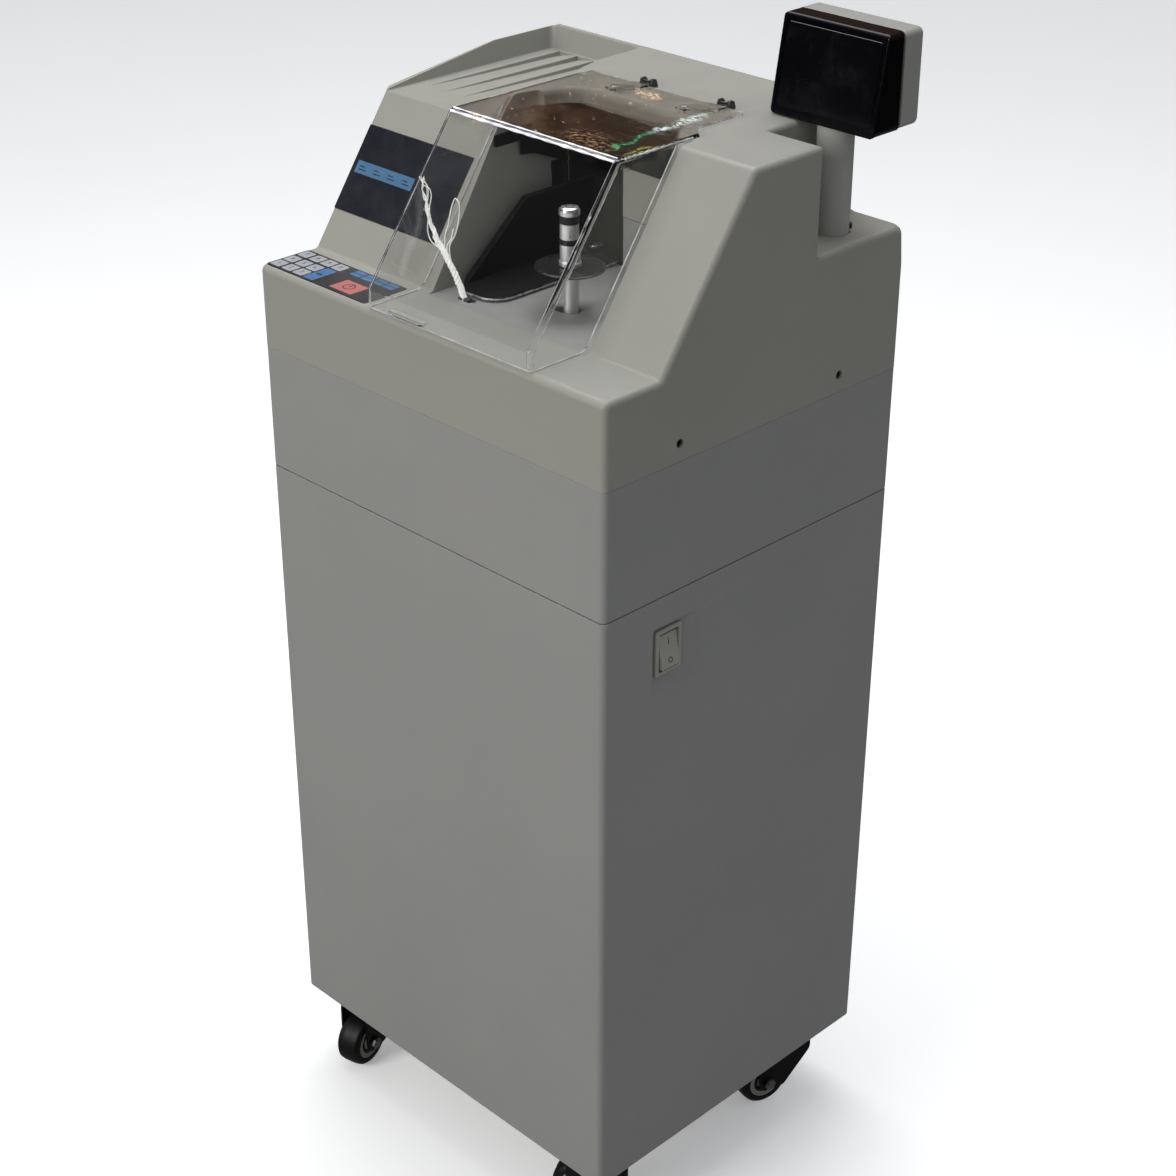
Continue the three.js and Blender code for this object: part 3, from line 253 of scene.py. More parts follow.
def lathe(path, axis="z", at=(0, 0), sides=48, ring=False):
    """Turned solid from (radius, height) points; radius 0 is a point, ring joins the ends."""
    verts, faces, rows = [], [], []
    for radius, height in path:
        first = len(verts)
        if radius < 1e-6:
            verts.append(place(axis, at[0], at[1], height))
        else:
            for k in range(sides):
                angle = 2 * math.pi * k / sides
                verts.append(place(axis, at[0] + radius * math.cos(angle),
                                   at[1] + radius * math.sin(angle), height))
        rows.append(range(first, len(verts)))
    pairs = list(zip(rows, rows[1:]))
    if ring:
        pairs.append((rows[-1], rows[0]))
    for a, b in pairs:
        if len(a) == 1 and len(b) == 1:
            continue
        for k in range(sides):
            j = (k + 1) % sides
            if len(a) == 1:
                faces.append((a[0], b[k], b[j]))
            elif len(b) == 1:
                faces.append((a[k], b[0], a[j]))
            else:
                faces.append((a[k], b[k], b[j], a[j]))
    return solid(verts, faces)


def turned(path, steps, axis="z", at=(0, 0), sides=48, base=0.0, ring=False):
    """Lathe of a (radius, height, corner radius) path, its heights counted from base."""
    raised = [(radius, height + base, *corner) for radius, height, *corner in path]
    return lathe(softened(raised, steps), axis, at, sides, ring)


def rod(axis, at, radius, start, end, sides=40, edge=0.0):
    if edge:
        return turned([(0, start), (radius, start, edge), (radius, end, edge), (0, end)],
                      3, axis, at, sides)
    return lathe([(0, start), (radius, start), (radius, end), (0, end)], axis, at, sides)


def tube(points, radius, sides=10):
    """Round strand through points; radius may be a function of 0..1 along it."""
    points = [Vector(point) for point in points]
    verts, count = [], len(points)
    start = (points[1] - points[0]).normalized()
    side = start.cross(Vector((0, 0, 1)) if abs(start.z) < 0.9 else Vector((1, 0, 0))).normalized()
    for i, point in enumerate(points):
        along = (points[min(i + 1, count - 1)] - points[max(i - 1, 0)]).normalized()
        side = (side - along * side.dot(along)).normalized()
        across = along.cross(side)
        size = radius(i / (count - 1)) if callable(radius) else radius
        for k in range(sides):
            angle = 2 * math.pi * k / sides
            verts.append(tuple(point + side * (size * math.cos(angle))
                               + across * (size * math.sin(angle))))
    return solid(verts, ring_faces(count, sides))


def smooth_path(points, samples):
    """Catmull-Rom curve through points."""
    p = [Vector(point) for point in points]
    p = [p[0] * 2 - p[1]] + p + [p[-1] * 2 - p[-2]]
    spans, result = len(p) - 3, []
    for i in range(samples):
        t = i / (samples - 1) * spans
        k = min(int(t), spans - 1)
        t -= k
        a, b, c, d = p[k:k + 4]
        result.append(0.5 * ((2 * b) + (c - a) * t + (2 * a - 5 * b + 4 * c - d) * t * t
                             + (3 * b - a - 3 * c + d) * t ** 3))
    return result


def remove(unwanted):
    mesh = unwanted.data
    bpy.data.objects.remove(unwanted)
    if mesh.users == 0:
        bpy.data.meshes.remove(mesh)


def combine(operation, first, others):
    """Boolean of first with each of the others, which are used up."""
    for other in others:
        modifier = first.modifiers.new("b", "BOOLEAN")
        modifier.object, modifier.operation, modifier.solver = other, operation, "MANIFOLD"
        graph = bpy.context.evaluated_depsgraph_get()
        mesh = bpy.data.meshes.new_from_object(first.evaluated_get(graph))
        first.modifiers.clear()
        old, first.data = first.data, mesh
        bpy.data.meshes.remove(old)
        remove(other)
        if len(mesh.polygons) == 0:
            raise RuntimeError("a boolean left nothing")
    return first


def cut(first, *others):
    return combine("DIFFERENCE", first, others)


def add(first, *others):
    return combine("UNION", first, others)


def overlap(first, other):
    return combine("INTERSECT", first, [other])


def edge_cutter(axis, u, v, radius, start, end):
    """What is taken off to round the convex edge at (u, v); the material lies towards -u, -v."""
    arc = [(u - radius + radius * cosine, v - radius + radius * sine)
           for sine, cosine in quarter(8)]
    outline = [(u + 1, v - radius)] + arc + [(u - radius, v + 1), (u + 1, v + 1)]
    return prism(axis, outline, start, end)


def inclined_plate(plane, left, right, low, high, corner, bottom, top, edge=0.1, steps=5):
    """Plate on a plane (y, z of its foot, unit step up it); bottom and top are off the plane."""
    foot_y, foot_z, up_y, up_z = plane
    rings = []
    for height, depth in ((bottom, 0), (top - edge, 0), (top, edge)):
        outline = rounded(inset(rect(left, right, low, high, corner), depth), steps)
        rings.append([(u, foot_y + up_y * s - up_z * height, foot_z + up_z * s + up_y * height)
                      for u, s in outline])
    return loft(rings)


def join(parts):
    """Several solids as one mesh, as separate shells."""
    verts, faces = [], []
    for part in parts:
        base = len(verts)
        verts += [tuple(vertex.co) for vertex in part.data.vertices]
        faces += [tuple(base + i for i in face.vertices) for face in part.data.polygons]
        remove(part)
    return mesh_object(verts, faces)


def turn(part, x, y, yaw):
    part.data.transform(Matrix.Translation((x, y, 0))
                        @ Matrix.Rotation(math.radians(yaw), 4, "Z"))
    return part


# Frame slots of the materials whose slot has another name.
SLOTS = {"black_dull": "black_plastic", "well_black": "black_plastic",
         "disc_black": "black_plastic", "key_white": "keypad_film", "key_blue": "keypad_film",
         "key_red": "keypad_film", "key_ink": "keypad_film", "strip_blue": "display_film",
         "display_lens": "gloss_black", "clear_leaf": "steel", "painted_fold_glow": "clear_acrylic",
         "clear_edge_and_highlight": "clear_acrylic"}
MATERIALS = {}
BEVEL_ANGLE = math.radians(35)


def finish(part, name, material, replaced=None, body="cabinet", slot=None, bevel=None,
           sharp=30, weighted=True):
    """Cleans the mesh, puts it in metres in the row frame and rides it on its body.

    bevel is (width, steps, test of an edge's two ends); edges above sharp degrees stay creased.
    """
    bm = bmesh.new()
    bm.from_mesh(part.data)
    bmesh.ops.remove_doubles(bm, verts=bm.verts, dist=2e-4)
    bmesh.ops.dissolve_degenerate(bm, dist=1e-4, edges=bm.edges)
    bmesh.ops.dissolve_limit(bm, angle_limit=math.radians(0.2), verts=bm.verts, edges=bm.edges)
    if bevel:
        width, steps, chosen = bevel
        edges = [edge for edge in bm.edges
                 if len(edge.link_faces) == 2 and edge.calc_face_angle(0) > BEVEL_ANGLE
                 and chosen(*[vertex.co for vertex in edge.verts])]
        if edges:
            bmesh.ops.bevel(bm, geom=edges, offset=width, offset_type="OFFSET", segments=steps,
                            profile=0.5, affect="EDGES", clamp_overlap=False, loop_slide=True)
    bmesh.ops.scale(bm, vec=(0.001, 0.001, 0.001), verts=bm.verts)
    bmesh.ops.translate(bm, vec=(MIDDLE_X / 1000.0, 0, 0), verts=bm.verts)
    for face in bm.faces:
        face.smooth = True
    limit = math.radians(sharp)
    for edge in bm.edges:
        edge.smooth = not (len(edge.link_faces) == 2 and edge.calc_face_angle(0) > limit)
    old = part.data
    mesh = bpy.data.meshes.new(name)
    bm.to_mesh(mesh)
    bm.free()
    part.data = mesh
    bpy.data.meshes.remove(old)
    part.name = name
    mesh.materials.append(MATERIALS[material])
    if weighted:
        modifier = part.modifiers.new("weighted", "WEIGHTED_NORMAL")
        modifier.keep_sharp = True
        modifier.weight = 50
        modifier.mode = "FACE_AREA"
    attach(part, body)
    if replaced:
        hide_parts(replaced)
    slot or SLOTS.get(material, material)
    return part


# ---------------------------------------------------------------- materials
class Shader:
    """A new material's node tree, with short ways to add nodes; coords is the space it reads."""

    def __init__(self, name):
        self.material = bpy.data.materials.new(name)
        self.material.use_nodes = True
        MATERIALS[name] = self.material
        self.tree = self.material.node_tree
        self.tree.nodes.clear()
        self.output = self.node("ShaderNodeOutputMaterial").inputs[0]
        self.surface = self.node("ShaderNodeBsdfPrincipled")
        self.link(self.surface.outputs[0], self.output)
        self.coords = self.node("ShaderNodeTexCoord").outputs["Object"]

    def node(self, kind, **settings):
        made = self.tree.nodes.new(kind)
        for key, value in settings.items():
            setattr(made, key, value)
        return made

    def link(self, source, target):
        self.tree.links.new(source, target)

    def feed(self, socket, value):
        """Links a socket, or sets a colour or a number."""
        if isinstance(value, bpy.types.NodeSocket):
            self.link(value, socket)
        else:
            socket.default_value = (*value, 1) if isinstance(value, tuple) else value

    def noise(self, scale, detail, rough, stretch=None):
        made = self.node("ShaderNodeTexNoise")
        made.inputs["Scale"].default_value = scale
        made.inputs["Detail"].default_value = detail
        made.inputs["Roughness"].default_value = rough
        source = self.coords
        if stretch:
            mapping = self.node("ShaderNodeMapping")
            mapping.inputs["Scale"].default_value = stretch
            self.link(source, mapping.inputs[0])
            source = mapping.outputs[0]
        self.link(source, made.inputs["Vector"])
        return made.outputs[0]

    def ramp(self, amount, stops):
        made = self.node("ShaderNodeValToRGB")
        elements = made.color_ramp.elements
        while len(elements) < len(stops):
            elements.new(0.5)
        for element, (position, colour) in zip(elements, stops):
            element.position = position
            element.color = (*colour, 1)
        self.link(amount, made.inputs[0])
        return made.outputs[0]

    def remap(self, value, source, target=(0.0, 1.0)):
        """The value taken from the source range to the target range."""
        made = self.node("ShaderNodeMapRange")
        for key, number in zip(("From Min", "From Max", "To Min", "To Max"), source + target):
            made.inputs[key].default_value = number
        self.link(value, made.inputs[0])
        return made.outputs[0]

    def mix(self, amount, first, second, blend="MIX"):
        made = self.node("ShaderNodeMix", data_type="RGBA", blend_type=blend)
        for index, value in ((0, amount), (6, first), (7, second)):
            self.feed(made.inputs[index], value)
        return made.outputs[2]

    def math(self, operation, first, second=0.0):
        made = self.node("ShaderNodeMath", operation=operation)
        self.feed(made.inputs[0], first)
        self.feed(made.inputs[1], second)
        return made.outputs[0]

    def plus(self, first, second):
        return self.math("ADD", first, second)

    def times(self, first, second):
        return self.math("MULTIPLY", first, second)

    def bump(self, height, strength, distance, normal=None):
        made = self.node("ShaderNodeBump")
        made.inputs["Strength"].default_value = strength
        made.inputs["Distance"].default_value = distance
        self.link(height, made.inputs["Height"])
        if normal is not None:
            self.link(normal, made.inputs["Normal"])
        return made.outputs[0]

    def set(self, **values):
        """Feeds the surface's inputs; an underscore stands for a space."""
        for key, value in values.items():
            self.feed(self.surface.inputs[key.replace("_", " ")], value)


def shade(colour, factor):
    return tuple(max(0.0, channel * factor) for channel in colour)


def moulded(name, colour, rough, vary, grain, depth, specular=0.5, metallic=0.0, coat=0.0,
            coat_rough=0.1, dirt=0.0, wear=0.0, warm=0.0):
    """Painted or moulded surface: broad tone drift, fine grain, uneven gloss, edge wear."""
    shader = Shader(name)
    broad = shader.noise(scale=4.5, detail=3.0, rough=0.5)
    fine = shader.noise(scale=grain, detail=2.0, rough=0.6)
    middle = shader.noise(scale=38.0, detail=4.0, rough=0.6)
    tone = shader.mix(shader.remap(broad, (0.3, 0.7)), shade(colour, 1 - vary),
                      shade(colour, 1 + vary))
    if warm:
        yellowed = (colour[0] * 1.02, colour[1] * 0.99, colour[2] * 0.9)
        tone = shader.mix(shader.remap(middle, (0.35, 0.7), (0, warm)), tone, yellowed)
    tone = shader.mix(shader.remap(fine, (0.35, 0.65), (0.0, 0.10)), tone, shade(colour, 0.86))
    if dirt:
        stains = shader.noise(scale=9.0, detail=8.0, rough=0.7)
        tone = shader.mix(shader.remap(stains, (0.5, 0.78), (0.0, dirt)), tone,
                          (0.30, 0.27, 0.22))
    if wear:
        edges = shader.node("ShaderNodeNewGeometry").outputs["Pointiness"]
        tone = shader.mix(shader.remap(edges, (0.53, 0.62), (0.0, wear)), tone,
                          shade(colour, 1.5))
    gloss = shader.plus(shader.remap(middle, (0.3, 0.7), (rough - 0.05, rough + 0.06)),
                        shader.remap(fine, (0.3, 0.7), (-0.03, 0.03)))
    relief = shader.bump(fine, strength=depth, distance=0.00008)
    relief = shader.bump(shader.noise(scale=120.0, detail=2.0, rough=0.5),
                         strength=depth * 0.35, distance=0.00012, normal=relief)
    shader.set(Base_Color=tone, Roughness=gloss, Metallic=metallic, Normal=relief,
               Specular_IOR_Level=specular)
    if coat:
        shader.set(Coat_Weight=coat, Coat_Roughness=coat_rough)


def metal(name, colour, rough, brush, depth, vary, spots, scale):
    """Bare metal: streaks along the brushing, dull blots, dark spots."""
    shader = Shader(name)
    streak = shader.noise(scale=scale, detail=4.0, rough=0.6, stretch=brush)
    blot = shader.noise(scale=22.0, detail=4.0, rough=0.6)
    tone = shader.mix(shader.remap(streak, (0.3, 0.7)), shade(colour, 1 - vary),
                      shade(colour, 1 + vary))
    tone = shader.mix(shader.remap(blot, (0.45, 0.75), (0.0, 0.25)), tone, shade(colour, 0.72))
    if spots:
        specks = shader.noise(scale=320.0, detail=3.0, rough=0.7)
        tone = shader.mix(shader.remap(specks, (0.62, 0.72), (0.0, spots)), tone,
                          shade(colour, 0.45))
    gloss = shader.plus(shader.remap(streak, (0.3, 0.7), (rough - 0.07, rough + 0.08)),
                        shader.remap(blot, (0.3, 0.7), (-0.04, 0.05)))
    shader.set(Base_Color=tone, Roughness=gloss, Metallic=1.0,
               Normal=shader.bump(streak, strength=depth, distance=0.00005))


def film(name, colour, rough, speck):
    """Printed polyester film: fine stipple, faint smears in the gloss."""
    shader = Shader(name)
    stipple = shader.noise(scale=2600.0, detail=2.0, rough=0.5)
    smear = shader.noise(scale=26.0, detail=6.0, rough=0.65)
    tone = shader.mix(shader.remap(stipple, (0.35, 0.65), (0.0, speck)), colour,
                      shade(colour, 0.8))
    tone = shader.mix(shader.remap(smear, (0.45, 0.75), (0.0, 0.18)), tone,
                      tuple(channel * 0.9 + 0.03 for channel in colour))
    shader.set(Base_Color=tone,
               Roughness=shader.remap(smear, (0.3, 0.7), (rough - 0.05, rough + 0.14)),
               Normal=shader.bump(stipple, strength=0.10, distance=0.00004))


def display_lens():
    """Smoked lens with faint smears and scratches."""
    shader = Shader("display_lens")
    smear = shader.noise(scale=14.0, detail=7.0, rough=0.7, stretch=(1, 1, 1))
    scratch = shader.noise(scale=420.0, detail=3.0, rough=0.7, stretch=(1, 1, 0.15))
    tone = shader.mix(shader.remap(smear, (0.55, 0.72), (0.0, 0.4)), (0.002, 0.002, 0.003),
                      (0.014, 0.014, 0.016))
    gloss = shader.plus(shader.remap(smear, (0.35, 0.7), (0.05, 0.20)),
                        shader.remap(scratch, (0.6, 0.7), (0.0, 0.1)))
    shader.set(Base_Color=tone, Roughness=gloss,
               Normal=shader.bump(smear, strength=0.05, distance=0.0006),
               Coat_Weight=0.3, Coat_Roughness=0.03)


def cotton():
    """White twisted yarn, with a painted glow that brightens it."""
    shader = Shader("cotton")
    twist = shader.node("ShaderNodeTexWave", wave_type="BANDS", bands_direction="DIAGONAL")
    twist.inputs["Scale"].default_value = 900.0
    twist.inputs["Distortion"].default_value = 3.0
    shader.link(shader.coords, twist.inputs["Vector"])
    fuzz = shader.noise(scale=1500.0, detail=4.0, rough=0.7)
    tone = shader.mix(shader.remap(fuzz, (0.3, 0.7)), (0.90, 0.90, 0.87), (0.985, 0.985, 0.97))
    relief = shader.bump(shader.plus(twist.outputs[1], fuzz), strength=0.6, distance=0.0003)
    # the emission is a painted glow
    shader.set(Base_Color=tone, Roughness=0.9, Normal=relief, Sheen_Weight=0.1,
               Emission_Color=(1.0, 0.99, 0.96), Emission_Strength=0.27,
               Subsurface_Weight=0.15)
    shader.surface.inputs["Subsurface Radius"].default_value = (0.001, 0.001, 0.001)


# Painted reflections of the room, drawn as glowing streaks on top of the clear cover, mm:
# start x, start y, end x, end y, half width, colour, noise threshold, noise scale
PAINTED_GLINTS = [(113.7, -77.7, 104.7, -14.2, 4.0, (0.03, 0.60, 0.28), 0.42, 300.0),
          (104.7, -14.2, 102.4, 60.7, 8.0, (0.85, 1.05, 1.02), 0.45, 260.0),
          (128.4, -77.9, 134.1, -33.5, 3.4, (0.55, 0.60, 0.14), 0.46, 340.0),
          (-48.2, -90.4, -25.2, -87.9, 7.0, (1.5, 0.95, 0.5), 0.46, 200.0),
          (11.7, 66.9, 39.4, 59.9, 8.0, (1.4, 0.92, 0.5), 0.46, 190.0),
          (51.9, -58.2, 115.3, -79.9, 22.0, (0.40, 0.23, 0.13), 0.49, 140.0)]


def painted_glints(shader, x, y, slant):
    """Colour of the painted reflections: glowing streaks, seen only at a slant."""
    glow = None
    for x0, y0, x1, y1, half_width, colour, threshold, scale in PAINTED_GLINTS:
        length = math.hypot(x1 - x0, y1 - y0)
        unit_x, unit_y = (x1 - x0) / length, (y1 - y0) / length
        from_x = shader.math("SUBTRACT", x, (x0 + MIDDLE_X) / 1000.0)
        from_y = shader.math("SUBTRACT", y, y0 / 1000.0)
        along = shader.plus(shader.times(from_x, unit_x), shader.times(from_y, unit_y))
        across = shader.plus(shader.times(from_x, -unit_y), shader.times(from_y, unit_x))
        waver = shader.noise(scale=48.0, detail=4.0, rough=0.65)
        across = shader.plus(across, shader.remap(waver, (0.3, 0.7), (-0.006, 0.006)))
        close = shader.remap(shader.math("ABSOLUTE", across), (0.0, half_width / 1000.0),
                             (1.0, 0.0))
        begun = shader.remap(along, (-0.006, 0.012))
        ended = shader.remap(along, ((length - 12) / 1000.0, (length + 6) / 1000.0), (1.0, 0.0))
        near = shader.times(close, shader.times(begun, ended))
        grain = shader.noise(scale=scale, detail=4.0, rough=0.65,
                             stretch=(unit_x * 0.5 + 0.7, 1.6, 1))
        dots = shader.remap(grain, (threshold, threshold + 0.12))
        streak = shader.mix(shader.times(shader.times(near, dots), slant), (0, 0, 0), colour)
        glow = streak if glow is None else shader.mix(1.0, glow, streak, "ADD")
    return glow


def acrylic():
    """Clear sheet with faint scratches and smears; light passes straight through for shadows."""
    shader = Shader("clear_acrylic")
    ripple = (0.5, 1.6, 1)  # stretch of the ripples
    smear = shader.noise(scale=11.0, detail=8.0, rough=0.7)
    scratch = shader.noise(scale=260.0, detail=4.0, rough=0.75, stretch=(1, 0.12, 0.12))
    gloss = shader.plus(shader.remap(smear, (0.5, 0.8), (0.0, 0.02)),
                        shader.remap(scratch, (0.68, 0.76), (0.0, 0.06)))
    # the moulding ripples a little on the right of the top
    split = shader.node("ShaderNodeSeparateXYZ")
    shader.link(shader.coords, split.inputs[0])
    x, y, z = split.outputs
    top = shader.times(shader.remap(z, (1.074, 1.082)),
                       shader.remap(z, (1.0859, 1.0860), (1.0, 0.0)))
    zone = shader.times(shader.remap(x, (0.035, 0.105)), top)
    wave = shader.times(shader.noise(scale=70.0, detail=5.0, rough=0.6, stretch=ripple), zone)
    # the sheet's own faint tint; the top alone is darker and browner, a painted reflection of the
    # brown room
    sheet_tint_and_painted_reflection = shader.mix(top, (0.955, 0.955, 0.95), (0.84, 0.82, 0.79))
    relief = shader.bump(wave, strength=0.2, distance=0.0018)
    bands = shader.noise(scale=24.0, detail=4.0, rough=0.6, stretch=ripple)
    thickness = shader.times(zone, shader.remap(bands, (0.45, 0.7), (0.0, 560.0)))
    shader.set(Base_Color=sheet_tint_and_painted_reflection, Roughness=gloss, Normal=relief, Transmission_Weight=1.0,
               IOR=1.49, Thin_Film_IOR=1.33, Thin_Film_Thickness=thickness)
    facing = shader.node("ShaderNodeLayerWeight")
    facing.inputs[0].default_value = 0.5
    slant = shader.times(shader.remap(facing.outputs["Facing"], (0.25, 0.5)), top)
    # the emission paints reflections of the room as glowing streaks on the top
    shader.set(Emission_Color=painted_glints(shader, x, y, slant), Emission_Strength=0.9)
    rays = shader.node("ShaderNodeLightPath")
    through = shader.node("ShaderNodeBsdfTransparent")
    shader.feed(through.inputs[0], (0.93, 0.935, 0.93))
    blend = shader.node("ShaderNodeMixShader")
    shader.link(shader.math("MAXIMUM", rays.outputs["Is Shadow Ray"],
                            rays.outputs["Is Diffuse Ray"]), blend.inputs[0])
    shader.link(shader.surface.outputs[0], blend.inputs[1])
    shader.link(through.outputs[0], blend.inputs[2])
    shader.link(blend.outputs[0], shader.output)


def clear_leaf():
    """Thin clear tab lying on the sheet: little reflection of its own, a few rubbed marks."""
    shader = Shader("clear_leaf")
    rub = shader.noise(scale=420.0, detail=4.0, rough=0.7, stretch=(1, 0.2, 1))
    tone = shader.mix(shader.remap(rub, (0.4, 0.7)), (0.985, 0.985, 0.98), (0.95, 0.95, 0.94))
    shader.set(Base_Color=tone, Roughness=shader.remap(rub, (0.55, 0.75), (0.0, 0.08)),
               Transmission_Weight=1.0, IOR=1.06)


def painted_fold_glow():
    """Bend of the clear sheet: a painted highlight, whitish and glowing in patches."""
    shader = Shader("painted_fold_glow")
    patches = shader.noise(scale=60.0, detail=5.0, rough=0.65)
    tone = shader.mix(shader.remap(patches, (0.38, 0.62)), (0.62, 0.63, 0.66),
                      (0.92, 0.94, 0.98))
    shader.set(Base_Color=tone, Roughness=0.3, Emission_Color=(0.80, 0.88, 1.0),
               Emission_Strength=shader.remap(patches, (0.38, 0.62), (0.10, 0.42)))


def clear_edge_and_highlight():
    """Cut edge of the clear sheet, with saw marks that scatter the light; on the rounded rims and
    the beads it is a painted highlight, light and dark in patches.
    """
    shader = Shader("clear_edge_and_highlight")
    patches = shader.noise(scale=55.0, detail=5.0, rough=0.65)
    fine = shader.noise(scale=700.0, detail=3.0, rough=0.6)
    tone = shader.mix(shader.remap(patches, (0.38, 0.66)), (0.36, 0.33, 0.335),
                      (0.95, 0.95, 0.97))
    shader.set(Base_Color=tone, Roughness=shader.remap(fine, (0.3, 0.7), (0.18, 0.42)),
               Normal=shader.bump(fine, strength=0.4, distance=0.0002),
               Transmission_Weight=0.35, IOR=1.49)


# name, colour, roughness, tone variation, grain scale, grain strength, further settings
MOULDED = [
    ("cabinet_paint", (0.272, 0.270, 0.260), 0.5, 0.025, 620.0, 0.35, dict(dirt=0.05, wear=0.15)),
    ("cover_plastic", (0.286, 0.282, 0.252), 0.48, 0.025, 900.0, 0.5,
     dict(dirt=0.03, wear=0.1, warm=0.15)),
    ("black_plastic", (0.0075, 0.0075, 0.0085), 0.42, 0.15, 1100.0, 0.6,
     dict(specular=0.4, wear=0.25)),
    ("black_dull", (0.004, 0.004, 0.0045), 0.6, 0.2, 900.0, 0.5, dict(specular=0.25)),
    ("gloss_black", (0.0022, 0.0022, 0.003), 0.14, 0.2, 300.0, 0.04,
     dict(specular=0.16, coat=0.06, coat_rough=0.03)),
    ("display_grey", (0.285, 0.287, 0.262), 0.45, 0.03, 900.0, 0.4, {}),
    ("switch_ivory", (0.34, 0.335, 0.28), 0.38, 0.04, 1000.0, 0.3, dict(dirt=0.08)),
    ("well_black", (0.0032, 0.0032, 0.0036), 0.62, 0.15, 900.0, 0.5, dict(specular=0.14)),
    ("disc_black", (0.006, 0.006, 0.0065), 0.28, 0.2, 900.0, 0.2, dict(specular=0.35)),
    ("rubber_black", (0.007, 0.007, 0.007), 0.5, 0.2, 1200.0, 0.6, dict(specular=0.35)),
    ("tyre_black", (0.006, 0.006, 0.0066), 0.46, 0.25, 700.0, 0.25,
     dict(specular=0.3, dirt=0.05)),
    ("hub_grey", (0.31, 0.30, 0.265), 0.42, 0.06, 900.0, 0.4, dict(dirt=0.15)),
    ("fork_black", (0.005, 0.005, 0.0055), 0.42, 0.2, 500.0, 0.4,
     dict(specular=0.28, wear=0.2, dirt=0.03)),
    ("pole_paint", (0.355, 0.355, 0.325), 0.42, 0.03, 700.0, 0.35, {}),
    ("pump_paint", (0.08, 0.086, 0.096), 0.45, 0.08, 420.0, 0.6, dict(dirt=0.2, wear=0.4)),
    ("board_green", (0.012, 0.09, 0.038), 0.35, 0.12, 600.0, 0.2, dict(coat=0.3)),
    ("filter_grey", (0.12, 0.127, 0.135), 0.5, 0.06, 900.0, 0.5, dict(dirt=0.2)),
    ("hose_black", (0.014, 0.014, 0.015), 0.6, 0.1, 900.0, 0.5, {}),
    ("deck_steel", (0.27, 0.27, 0.263), 0.55, 0.03, 800.0, 0.3, dict(metallic=0.1, dirt=0.05))]
for *look, further in MOULDED:
    moulded(*look, **further)

# name, colour, roughness, streak stretch, streak depth, tone variation, spots, streak scale
METALS = [("steel", (0.52, 0.52, 0.53), 0.24, (3, 3, 30), 0.12, 0.08, 0.0, 60.0),
          ("aluminium", (0.70, 0.70, 0.71), 0.42, (2, 2, 60), 0.2, 0.08, 0.0, 120.0),
          ("chrome", (0.60, 0.60, 0.62), 0.26, (2, 2, 2), 0.03, 0.03, 0.0, 60.0),
          ("zinc", (0.34, 0.345, 0.35), 0.36, (6, 6, 6), 0.2, 0.12, 0.3, 60.0),
          ("dark_metal", (0.07, 0.07, 0.075), 0.34, (4, 4, 12), 0.2, 0.2, 0.0, 60.0)]
for look in METALS:
    metal(*look)

# name, colour, roughness, stipple strength
FILMS = [("keypad_film", (0.020, 0.021, 0.025), 0.34, 0.15),
         ("key_white", (0.325, 0.337, 0.36), 0.4, 0.08),
         ("key_blue", (0.052, 0.155, 0.33), 0.34, 0.15),
         ("key_red", (0.44, 0.135, 0.128), 0.36, 0.15),
         ("key_ink", (0.02, 0.024, 0.035), 0.4, 0.15),
         ("display_film", (0.0135, 0.0145, 0.0205), 0.26, 0.08),
         ("strip_blue", (0.062, 0.15, 0.27), 0.34, 0.15)]
for look in FILMS:
    film(*look)
display_lens()
cotton()
acrylic()
clear_leaf()
painted_fold_glow()
clear_edge_and_highlight()


# ================================================================ lower cabinet
def plan(depth, radius):
    """The cabinet's outline seen from above, set in by depth."""
    return rect(-SIDE + depth, SIDE - depth, -REAR + depth, REAR - depth, radius)


def pocket(inner, outer, inner_x, outer_x):
    """Block in the right side that widens outwards."""
    return stack("x", [(inner_x, inner), (outer_x, outer)], 6)


def switch_rim(a, b):
    return (a.x > SIDE - 0.5 and b.x > SIDE - 0.5 and -135 < a.y < -65
            and 615 < a.z < 697 and 615 < b.z < 697)


shell = cut(prism("z", plan(0, 6.5), BASE, BAND - 1.0, 1.2, 0.9, 8, 4),
            prism("z", plan(SHEET, 4), BASE + SHEET, BAND - 1.5 - SHEET, steps=4),
            box(-170, 170, -140, 140, BAND - 10, BAND + 10),
            box(-205, 205, REAR - 10, REAR + 10, BASE + 20, BAND - 22))
# flared pocket of the switch
shell = add(shell, pocket(rect(-129.5, -84, 635.5, 693.3, 4), rect(-132.5, -66, 620, 695.5, 4),
                          SIDE - 8, SIDE - 1))
shell = cut(shell, pocket(rect(-127, -87.5, 639, 690.8, 2.5),
                          rect(-129.8, -68, 622.5, 693.4, 2.5), SIDE - 5.5, SIDE + 1),
            box(SIDE - 30, SIDE - 3, -121.2, -92.4, 643.2, 685.8))
PAD_HALF, BOLT_OFFSET = 26, 20  # caster plates and their four bolts
for _, x, y, _ in CASTERS:
    shell = add(shell, prism("z", rect(x - PAD_HALF, x + PAD_HALF, y - PAD_HALF, y + PAD_HALF, 5),
                             BASE - 2.5, BASE + 1, 0.8, 0, 5, 2))
finish(shell, "lower_cabinet_shell", "cabinet_paint", "lower_cabinet",
       bevel=(1.1, 3, switch_rim))

BOLT = [(0, -2.4), (3.4, -2.4), (3.4, -3.6, 0.6), (1.6, -4.3), (0, -4.4)]
finish(join([turned(BOLT, 3, "z", (x + i * BOLT_OFFSET, y + j * BOLT_OFFSET), 20, base=BASE)
             for _, x, y, _ in CASTERS for i, j in ((-1, -1), (1, -1), (1, 1), (-1, 1))]),
       "caster_plate_bolts", "zinc")

